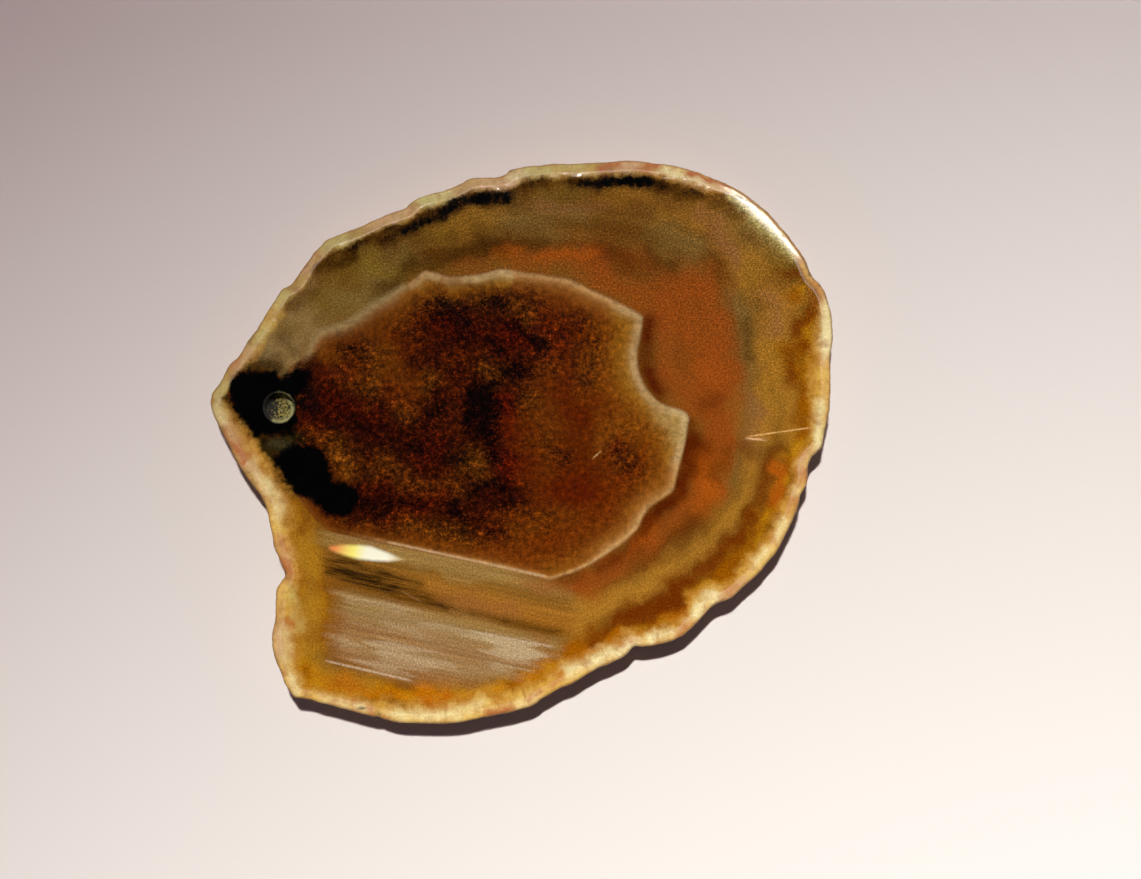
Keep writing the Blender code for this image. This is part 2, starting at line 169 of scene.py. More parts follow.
# Brush strokes for soft zones: layer: (half width, strength, path)
STROKES = {
    "terra": (
        (17, 0.55, ((528, 262), (560, 258), (590, 262))),
        (16, 0.75, ((600, 276), (618, 286), (634, 296))),
        (22, 0.75, ((664, 300), (682, 288), (702, 284))),
        (10, 0.4, ((628, 256), (648, 262))),
        (26, 0.85, ((672, 318), (690, 330), (706, 352), (714, 380))),
        (16, 0.7, ((702, 292), (716, 316), (724, 350), (728, 384))),
        (20, 0.7, ((668, 376), (686, 394), (706, 408))),
        (17, 0.9, ((712, 390), (720, 416), (722, 440))),
        (16, 0.9, ((716, 440), (712, 462), (708, 482))),
        (17, 0.75, ((700, 486), (684, 508), (664, 530), (646, 546))),
        (13, 0.8, ((648, 540), (628, 558), (606, 572), (590, 580))),
        (12, 0.35, ((460, 266), (480, 267))),
        (10, 0.5, ((572, 588), (590, 592))),
        (9, 0.7, ((544, 580), (560, 585), (580, 586))),
        (10, 0.6, ((663, 322), (663, 345), (667, 372))),
    ),
    "orange": (
        (9, 0.55, ((499, 256), (508, 250), (516, 251))),
        (10, 0.55, ((546, 256), (565, 254), (590, 252))),
        (12, 0.25, ((702, 366), (712, 378))),
        (15, 0.65, ((710, 466), (710, 484), (702, 502))),
        (7, 0.35, ((636, 545), (648, 536), (656, 528))),
        (9, 0.5, ((324, 682), (340, 683), (354, 685))),
        (7, 0.6, ((424, 700), (440, 703), (452, 703))),
        (7, 0.9, ((778, 470), (780, 486), (775, 500))),
        (7, 0.4, ((690, 600), (676, 610), (655, 620))),
        (6, 0.25, ((815, 300), (822, 310))),
        (8, 0.5, ((676, 618), (686, 610))),
        (6, 0.6, ((604, 170), (610, 168))),
    ),
    "gold": (
        (10, 0.45, ((600, 645), (617, 638))),
        (8, 0.7, ((572, 653), (588, 648))),
        (9, 0.95, ((420, 692), (438, 696), (452, 700))),
        (8, 0.6, ((360, 690), (400, 696))),
        (7, 0.6, ((556, 656), (540, 668), (524, 680))),
        (7, 0.5, ((470, 694), (500, 690))),
        (7, 0.45, ((700, 596), (690, 604))),
    ),
    "ochre": (
        (13, 0.65, ((302, 516), (308, 548), (312, 580), (312, 612), (308, 648))),
        (9, 0.5, ((322, 664), (340, 672), (366, 680))),
        (7, 0.5, ((742, 510), (748, 520))),
        (9, 0.4, ((440, 688), (470, 688))),
    ),
    "redbrown": (
        (9, 0.8, ((648, 322), (646, 342), (645, 360), (650, 378), (659, 392))),
        (10, 0.95, ((692, 442), (690, 456), (686, 470), (680, 490))),
        (7, 0.6, ((690, 424), (692, 440))),
        (9, 0.95, ((676, 496), (660, 508), (650, 520), (644, 530))),
        (8, 0.6, ((636, 542), (618, 556), (600, 568))),
        (11, 0.45, ((600, 246), (616, 252), (628, 262))),
        (10, 0.35, ((708, 506), (700, 516), (684, 532))),
        (10, 0.85, ((702, 450), (696, 470))),
        (8, 0.35, ((560, 578), (580, 576))),
        (10, 0.4, ((706, 404), (716, 400))),
    ),
    "greyol": (
        (17, 0.5, ((504, 216), (524, 222), (540, 224))),
        (13, 0.4, ((564, 214), (580, 220))),
        (16, 0.5, ((664, 232), (682, 244), (694, 250))),
        (15, 0.6, ((372, 268), (392, 258), (404, 252))),
        (15, 0.75, ((330, 296), (350, 302), (368, 290), (386, 280))),
        (13, 0.5, ((322, 318), (340, 310), (356, 304))),
        (12, 0.7, ((288, 330), (280, 346))),
        (12, 0.65, ((736, 296), (744, 322), (748, 350), (748, 384), (752, 412))),
        (12, 0.4, ((744, 440), (736, 466), (724, 492))),
        (10, 0.5, ((726, 222), (744, 240), (760, 256))),
        (12, 0.35, ((560, 596), (576, 608))),
    ),
    "tan": (
        (14, 0.5, ((700, 214), (716, 222), (728, 240), (738, 262), (740, 280))),
        (14, 0.55, ((752, 256), (762, 276), (768, 296), (770, 320))),
        (13, 0.75, ((776, 300), (780, 318), (776, 336))),
        (13, 0.85, ((766, 344), (768, 376), (766, 410), (762, 434))),
        (9, 0.6, ((786, 384), (790, 410), (792, 430))),
        (10, 0.6, ((728, 396), (732, 410), (730, 440))),
        (8, 0.4, ((788, 400), (788, 420), (788, 440))),
        (11, 0.65, ((752, 466), (750, 486), (740, 506))),
        (13, 0.7, ((730, 516), (712, 540), (690, 556), (668, 568))),
        (15, 0.95, ((668, 574), (644, 588), (620, 598), (598, 606))),
        (15, 0.9, ((592, 608), (576, 618), (562, 626))),
        (11, 0.7, ((584, 628), (576, 640))),
        (9, 0.45, ((584, 597), (600, 596))),
        (10, 0.4, ((604, 194), (626, 194), (648, 196))),
        (10, 0.35, ((440, 226), (470, 216), (500, 212))),
        (9, 0.4, ((664, 214), (684, 222), (700, 226))),
        (12, 0.4, ((452, 236), (470, 240))),
        (11, 0.5, ((806, 290), (796, 300), (788, 312))),
    ),
    "olive": (
        (11, 0.75, ((776, 262), (786, 262))),
        (10, 0.55, ((748, 262), (752, 280))),
        (12, 0.5, ((780, 376), (778, 400))),
        (14, 0.55, ((368, 256), (384, 272), (404, 270))),
        (12, 0.5, ((304, 318), (316, 300), (330, 284))),
        (12, 0.45, ((344, 262), (360, 268))),
        (11, 0.5, ((428, 232), (446, 230))),
        (10, 0.45, ((540, 196), (560, 196), (580, 196))),
        (10, 0.4, ((726, 492), (716, 512))),
        (12, 0.4, ((352, 276), (372, 268))),
        (12, 0.45, ((452, 226), (480, 220))),
        (10, 0.5, ((800, 300), (794, 290))),
    ),
    "amber": (
        (9, 0.75, ((812, 318), (806, 334), (800, 350))),
        (11, 0.85, ((808, 350), (806, 370), (806, 392), (808, 412))),
        (10, 0.4, ((786, 350), (786, 370))),
        (10, 0.8, ((806, 430), (799, 442), (790, 462), (784, 480), (776, 500))),
        (11, 0.9, ((772, 510), (758, 532), (742, 554), (722, 574), (702, 590))),
        (9, 0.9, ((698, 594), (690, 606), (672, 618), (648, 626), (622, 632), (602, 642))),
        (12, 0.9, ((600, 642), (580, 650), (562, 662), (542, 674))),
        (12, 0.9, ((540, 676), (515, 684), (490, 690), (460, 694), (430, 694), (400, 693), (370, 689), (340, 684), (312, 678))),
        (13, 0.9, ((306, 684), (300, 668), (304, 646), (308, 620), (310, 596))),
        (12, 0.9, ((308, 596), (308, 570), (306, 545), (304, 524), (298, 510))),
        (12, 0.6, ((322, 560), (326, 600), (324, 640))),
        (11, 0.45, ((420, 578), (460, 586), (510, 596), (556, 606))),
        (8, 0.7, ((790, 298), (800, 294))),
    ),
    "core": (
        (6, 0.8, ((812, 314), (804, 322), (796, 330))),
        (8, 0.55, ((790, 350), (794, 366), (792, 378))),
        (8, 0.6, ((798, 328), (800, 348), (800, 368))),
        (8, 0.5, ((754, 534), (744, 547), (734, 557))),
        (11, 0.85, ((676, 604), (662, 609), (646, 612), (632, 614))),
        (6, 0.6, ((780, 450), (772, 464), (768, 480))),
        (7, 0.65, ((762, 488), (758, 502), (752, 514))),
        (10, 0.95, ((752, 520), (742, 534), (728, 548), (712, 560))),
        (10, 0.9, ((708, 562), (694, 574), (682, 584), (672, 592))),
        (11, 0.95, ((676, 590), (664, 602), (650, 610), (634, 612))),
        (8, 0.85, ((634, 613), (618, 620), (606, 628), (594, 638))),
        (7, 0.45, ((590, 640), (574, 650), (556, 656))),
        (8, 0.35, ((326, 616), (330, 646))),
        (6, 0.6, ((298, 504), (302, 516), (304, 530))),
        (9, 0.7, ((786, 272), (796, 273), (804, 276))),
        (7, 0.35, ((764, 472), (758, 484))),
        (9, 0.5, ((740, 446), (748, 452))),
    ),
    # dark: partly painted shadow of the rind in the band just inside its top edge, partly dark streaks of the stone
    "dark": (
        (10, 0.8, ((380, 238), (400, 230), (420, 222), (440, 214))),
        (9, 0.85, ((440, 210), (458, 202), (480, 200), (506, 198))),
        (7, 0.7, ((522, 188), (536, 182), (548, 181))),
        (7.5, 0.85, ((572, 182), (600, 183), (640, 182), (660, 184))),
        (6, 0.55, ((660, 186), (684, 191), (700, 195))),
        (7, 0.8, ((352, 252), (358, 246), (364, 242))),
        (8, 0.5, ((320, 266), (332, 262), (344, 258))),
        (8, 0.45, ((512, 240), (526, 242), (540, 240))),
        (11, 0.6, ((454, 254), (462, 252), (476, 250), (498, 247))),
        (9, 0.3, ((452, 243), (470, 241), (486, 240))),
        (9, 0.15, ((512, 191), (540, 193), (575, 195))),
        (8, 0.4, ((326, 262), (340, 256), (352, 250))),
        (8, 0.5, ((404, 264), (420, 262), (440, 262))),
        (8, 0.45, ((648, 256), (662, 262), (674, 266))),
        (7, 0.15, ((746, 232), (758, 242), (770, 256))),
        (6, 0.35, ((718, 206), (732, 216))),
        (7, 0.25, ((712, 256), (720, 272))),
        (7, 0.45, ((748, 330), (750, 352))),
        (7, 0.3, ((740, 206), (752, 216), (766, 232))),
        (9, 0.25, ((696, 520), (680, 536), (660, 552), (640, 566))),
        (8, 0.35, ((720, 450), (716, 476))),
        (8, 0.4, ((284, 342), (292, 352))),
        (7, 0.55, ((258, 364), (272, 362))),
        (8, 0.35, ((376, 296), (396, 286))),
        (12, 0.12, ((392, 250), (420, 242), (446, 236))),
        (9, 0.1, ((330, 276), (350, 268))),
        (9, 0.35, ((300, 302), (312, 292))),
        (9, 0.4, ((390, 286), (400, 279), (412, 273))),
    ),
    # near-black painted shadow of the rind along the top, seen through the stone
    "rind_shadow_top": (
        (8, 0.95, ((442, 216), (449, 210), (455, 205))),
        (5, 0.8, ((458, 202), (470, 200))),
        (8.5, 1.0, ((480, 199), (494, 197), (506, 197))),
        (6, 0.8, ((404, 232), (414, 226), (428, 220))),
        (4, 0.7, ((355, 249), (360, 244))),
        (5.5, 0.8, ((582, 184), (596, 185), (606, 184))),
        (6, 0.9, ((606, 181), (620, 181), (632, 182))),
        (7, 1.0, ((630, 181), (638, 182), (646, 181))),
        (4, 0.55, ((650, 184), (664, 187))),
        (5, 0.5, ((684, 192), (696, 193))),
        (4, 0.45, ((530, 184), (542, 181))),
        (4, 0.5, ((386, 240), (396, 236))),
    ),
    "sand": (
        (13, 0.7, ((246, 352), (256, 350), (268, 352))),
        (10, 0.6, ((262, 336), (268, 326), (272, 316))),
        (12, 0.55, ((290, 348), (302, 338), (310, 326))),
        (10, 0.45, ((300, 312), (290, 320))),
        (8, 0.5, ((282, 366), (296, 360))),
        (10, 0.35, ((300, 290), (306, 280))),
    ),
    # painted yellow-green edge of the glint on the ground flat
    "glint_edge": (
        (5.0, 0.9, ((731, 196), (742, 206), (756, 219))),
        (5.5, 0.9, ((756, 219), (772, 234), (784, 246), (794, 256))),
        (8, 0.25, ((752, 224), (766, 236), (780, 250))),
    ),
    "streak": (
        (4.5, 0.7, ((322, 559), (345, 562), (362, 566))),
        (4.5, 0.4, ((362, 566), (385, 571))),
        (5.5, 0.6, ((372, 572), (388, 576), (405, 580), (420, 584))),
        (5.5, 0.9, ((326, 570), (350, 574), (376, 580))),
        (5.0, 0.65, ((376, 581), (396, 585))),
        (5.0, 0.6, ((396, 587), (416, 592), (432, 597))),
        (4.5, 0.4, ((432, 598), (452, 604))),
        (6.0, 0.55, ((350, 580), (372, 586), (392, 592))),
        (5.0, 0.55, ((390, 594), (415, 600), (440, 606))),
        (3.5, 0.3, ((440, 605), (470, 612))),
        (3.5, 0.45, ((470, 612), (505, 620))),
        (3.5, 0.5, ((505, 620), (530, 626), (558, 632))),
        (12.0, 0.3, ((326, 568), (358, 576), (390, 586))),
    ),
    "pale": (
        (6, 0.35, ((328, 640), (352, 643))),
        (4.5, 0.6, ((478, 635), (500, 640), (522, 644), (534, 647))),
        (6, 0.8, ((504, 647), (518, 651), (532, 654))),
        (4, 0.6, ((500, 655), (522, 659), (536, 661))),
        (6, 0.45, ((380, 645), (396, 648), (412, 652))),
        (7, 0.5, ((380, 653), (400, 657), (422, 662))),
        (7, 0.55, ((372, 665), (390, 669), (412, 673))),
        (4, 0.35, ((346, 598), (372, 603), (396, 608))),
        (4, 0.4, ((486, 664), (508, 669))),
        (4, 0.4, ((426, 660), (450, 665))),
        (3, 0.35, ((430, 624), (470, 633))),
        (3, 0.3, ((392, 626), (430, 634))),
    ),
    "lilac": (
        (12, 0.8, ((386, 614), (410, 620), (436, 630))),
        (12, 0.6, ((440, 640), (466, 648), (480, 657))),
        (12, 0.55, ((350, 648), (366, 654), (386, 642))),
        (12, 0.6, ((430, 662), (460, 670), (486, 672))),
        (9, 0.7, ((336, 528), (352, 533), (372, 539))),
    ),
    "greytan": (
        (12, 0.4, ((690, 218), (706, 222))),
        (8, 0.45, ((637, 392), (643, 406))),
        (7, 0.8, ((396, 550), (430, 557), (470, 566), (506, 574))),
        (6, 0.5, ((420, 566), (450, 573), (480, 580))),
        (9, 0.7, ((324, 524), (340, 526), (360, 530))),
        (10, 0.45, ((344, 592), (366, 598), (390, 604))),
        (8, 0.45, ((456, 612), (490, 624), (500, 628))),
    ),
    "blush": (
        (9, 0.6, ((716, 232), (728, 244), (738, 262))),
        (9, 0.55, ((768, 296), (776, 312), (774, 332))),
        (8, 0.45, ((700, 212), (716, 220))),
        (9, 0.45, ((752, 400), (756, 424), (750, 444))),
        (9, 0.4, ((540, 206), (570, 208), (600, 208))),
    ),
    "rosy": (
        (7, 0.7, ((520, 580), (544, 586), (566, 594))),
        (8, 0.8, ((545, 583), (562, 588))),
        (9, 0.55, ((536, 640), (548, 652), (540, 664))),
        (10, 0.7, ((330, 596), (334, 616), (338, 644))),
        (10, 0.5, ((450, 596), (480, 604), (512, 612))),
        (8, 0.5, ((520, 668), (546, 670))),
        (7, 0.4, ((440, 600), (480, 608))),
    ),
    "glow": (
        (14, 0.85, ((628, 322), (624, 345), (624, 368), (632, 390))),
        (15, 0.95, ((634, 394), (646, 412), (660, 426), (666, 440))),
        (13, 0.5, ((664, 446), (660, 466), (654, 482))),
        (10, 0.55, ((670, 486), (656, 496), (642, 506))),
        (15, 0.4, ((604, 330), (600, 360), (604, 388), (618, 410), (634, 430))),
        (8, 0.4, ((634, 512), (622, 528), (602, 544), (578, 558), (552, 568))),
        (9, 0.55, ((424, 284), (450, 288), (480, 287), (505, 283))),
        (8, 0.4, ((548, 566), (570, 562))),
        (10, 0.15, ((540, 286), (570, 292), (600, 308))),
        (18, 0.5, ((610, 428), (616, 454))),
        (13, 0.8, ((402, 300), (420, 291), (444, 291), (470, 292))),
    ),
    "inner_brown": (
        (15, 0.65, ((376, 352), (386, 364), (376, 380))),
        (13, 0.6, ((330, 356), (338, 366))),
        (14, 0.5, ((376, 324), (396, 314))),
        (12, 0.95, ((340, 452), (344, 460), (346, 470))),
        (7, 0.6, ((308, 432), (314, 436), (322, 440))),
        (13, 0.65, ((470, 462), (482, 468))),
        (15, 0.5, ((400, 526), (430, 534), (460, 542))),
        (18, 0.5, ((536, 400), (548, 430), (540, 460))),
        (18, 0.45, ((524, 530), (550, 520), (580, 516))),
        (13, 0.75, ((434, 290), (456, 291), (482, 290))),
        (11, 0.5, ((424, 386), (432, 380))),
        (13, 0.65, ((394, 376), (404, 392), (404, 406))),
        (16, 0.35, ((578, 390), (590, 360))),
        (12, 0.4, ((380, 464), (400, 478))),
        (12, 0.35, ((352, 378), (366, 388))),
        (12, 0.35, ((416, 486), (436, 490), (452, 488))),
        (12, 0.5, ((514, 306), (526, 314))),
        (10, 0.45, ((486, 368), (494, 376))),
        (13, 0.45, ((546, 340), (552, 372))),
    ),
    "inner_dark": (
        (9, 0.35, ((426, 312), (436, 320))),
        (9, 0.35, ((544, 306), (556, 314))),
        (9, 0.4, ((487, 394), (493, 406))),
        (9, 0.4, ((456, 456), (464, 464))),
        (12, 0.8, ((442, 308), (450, 314), (462, 318))),
        (6, 0.85, ((284, 440), (296, 441), (306, 440))),
        (9, 0.75, ((488, 302), (500, 304))),
        (8, 0.6, ((464, 330), (466, 340))),
        (8, 0.7, ((488, 340), (498, 344))),
        (10, 0.85, ((518, 330), (530, 339), (542, 346))),
        (10, 0.6, ((491, 406), (494, 432), (494, 456))),
        (9, 0.85, ((506, 372), (516, 371), (522, 368))),
        (10, 0.95, ((494, 382), (480, 396), (470, 410), (468, 424))),
        (11, 1.0, ((488, 398), (484, 414), (486, 428))),
        (9, 0.45, ((488, 438), (494, 452))),
        (8, 0.7, ((432, 398), (438, 408), (432, 414))),
        (7, 0.6, ((310, 402), (322, 410))),
        (8, 0.6, ((352, 420), (366, 426))),
        (8, 0.75, ((410, 446), (422, 450))),
        (8, 0.65, ((450, 462), (464, 460))),
        (9, 0.75, ((474, 490), (486, 484), (498, 486))),
        (9, 0.8, ((448, 506), (458, 514), (464, 520))),
        (9, 0.7, ((366, 504), (380, 508), (392, 504))),
        (8, 0.6, ((404, 504), (420, 506))),
        (8, 0.5, ((500, 500), (506, 506))),
        (7, 0.4, ((560, 458), (566, 460))),
        (9, 0.75, ((308, 372), (310, 384), (306, 396))),
        (7, 0.5, ((342, 346), (350, 350))),
        (8, 0.4, ((380, 440), (390, 446))),
    ),
    "inner_red": (
        (12, 0.45, ((396, 516), (420, 510), (438, 494))),
        (11, 0.5, ((308, 376), (330, 374), (346, 372))),
        (11, 0.4, ((306, 426), (314, 436))),
        (12, 0.4, ((572, 494), (586, 488))),
        (13, 0.5, ((512, 334), (528, 342), (546, 350))),
        (12, 0.6, ((500, 404), (508, 416), (506, 428))),
        (14, 0.65, ((506, 462), (518, 468), (530, 464))),
        (13, 0.5, ((546, 328), (556, 344))),
        (12, 0.45, ((392, 388), (408, 398))),
        (13, 0.2, ((352, 492), (380, 488), (410, 490))),
        (14, 0.4, ((566, 408), (590, 414), (600, 408))),
        (15, 0.4, ((560, 486), (584, 500))),
        (13, 0.22, ((330, 400), (352, 406), (384, 412))),
        (12, 0.25, ((420, 462), (440, 444))),
        (12, 0.35, ((556, 372), (572, 388))),
        (13, 0.5, ((616, 446), (606, 462))),
        (12, 0.4, ((440, 322), (470, 330))),
    ),
    "bright": (
        (22, 1.0, ((634, 326), (631, 345), (634, 373), (646, 392), (660, 408), (676, 420))),
        (18, 1.0, ((676, 420), (678, 436), (676, 444))),
        (11, 0.1, ((670, 462), (668, 476), (662, 486))),
        (10, 0.1, ((606, 300), (618, 306), (626, 314))),
        (11, 0.9, ((418, 281), (436, 281), (466, 281), (506, 277))),
    ),
    "mottle": (
        (22, 0.85, ((436, 313), (458, 313), (490, 309), (522, 313))),
        (22, 0.8, ((446, 338), (480, 342), (510, 336), (540, 342))),
        (18, 0.7, ((500, 364), (520, 370))),
        (20, 0.95, ((482, 380), (474, 404), (480, 430), (490, 458))),
        (18, 0.8, ((312, 388), (330, 400), (352, 404), (384, 404))),
        (20, 0.65, ((350, 424), (388, 432), (420, 442))),
        (17, 0.7, ((436, 396), (428, 414))),
        (18, 0.75, ((436, 452), (470, 462), (500, 472))),
        (17, 0.9, ((346, 500), (390, 505), (430, 506), (470, 502), (504, 492))),
        (15, 0.5, ((452, 520), (470, 524))),
        (18, 0.3, ((404, 330), (420, 350))),
        (18, 0.5, ((430, 366), (456, 376))),
        (13, 0.6, ((344, 344), (358, 350), (372, 362))),
        (20, 0.4, ((312, 412), (330, 428), (352, 440))),
        (16, 0.45, ((566, 330), (582, 326), (592, 344), (584, 378))),
        (14, 0.5, ((620, 450), (628, 470))),
        (16, 0.35, ((558, 458), (540, 440))),
        (18, 0.35, ((396, 470), (420, 480))),
        (16, 0.35, ((516, 500), (540, 520))),
        (16, 0.3, ((530, 380), (550, 360))),
        (46, 0.5, ((344, 410), (346, 450), (392, 488), (452, 494))),
        (16, 0.7, ((312, 372), (322, 392), (318, 420), (312, 440))),
        (16, 0.4, ((366, 416), (400, 424), (430, 430))),
        (20, 0.35, ((352, 430), (384, 456), (406, 464))),
        (18, 0.5, ((452, 452), (476, 450), (488, 466))),
        (16, 0.5, ((350, 514), (380, 516), (420, 514), (462, 516))),
        (14, 0.35, ((316, 366), (344, 378))),
        (12, 0.4, ((456, 456), (468, 470))),
        (12, 0.4, ((456, 514), (468, 524))),
        (16, 0.35, ((308, 432), (318, 444), (324, 456))),
        (16, 0.45, ((500, 396), (524, 402))),
        (7, 0.3, ((304, 372), (316, 356))),
        (14, 0.7, ((486, 396), (500, 400), (520, 402))),
        (14, 0.6, ((440, 524), (470, 528), (500, 534))),
        (12, 0.5, ((456, 456), (470, 462))),
    ),
    "patch": ((8, 0.8, ((272, 443), (280, 445))), (5, 0.4, ((286, 441), (291, 443))), (3.5, 0.6, ((282, 380), (284, 374), (288, 370)))),
    # the bore: where its frosted inside shows lit, the rest painted as shade, and a painted highlight where light falls
    # on its right-hand and lower rim
    "bore_lit": ((9.5, 0.95, ((284.5, 399), (285, 414))), (6, 0.5, ((276, 416), (284, 419)))),
    "ring": ((2.2, 0.7, ((279, 393), (283.5, 394.3), (288, 397))), (2.4, 0.9, ((288, 397), (291.6, 401.7), (292.9, 407.4), (291.6, 413.1), (288, 417.8), (282.8, 420.5), (276.9, 420.8), (273.5, 419.6))),),
    "edge": ((3.4, 0.75, ((308, 353), (316, 337), (320, 332.5), (345, 324.5), (358, 317), (371, 306.5), (391, 295.5), (404, 287))), (6, 0.3, ((322, 334), (346, 327), (360, 319), (374, 309), (394, 298)))),
    "pool": ((9, 0.85, ((664, 417), (674, 426), (677, 437))), (7, 0.4, ((650, 396), (658, 410)))),
    # painted shade round the two darkest corners by the bore
    "shade_halo": ((7, 0.4, ((248, 366), (258, 365), (268, 365), (278, 368))), (9, 0.35, ((262, 352), (250, 360))), (8, 0.1, ((306, 366), (314, 374), (316, 386))), (8, 0.95, ((258, 436), (264, 445), (271, 456), (278, 466))), (9, 0.95, ((266, 440), (280, 440), (294, 439))), (7, 0.95, ((270, 448), (280, 450), (288, 447))), (5, 0.5, ((240, 371), (262, 370), (282, 372)))),
}
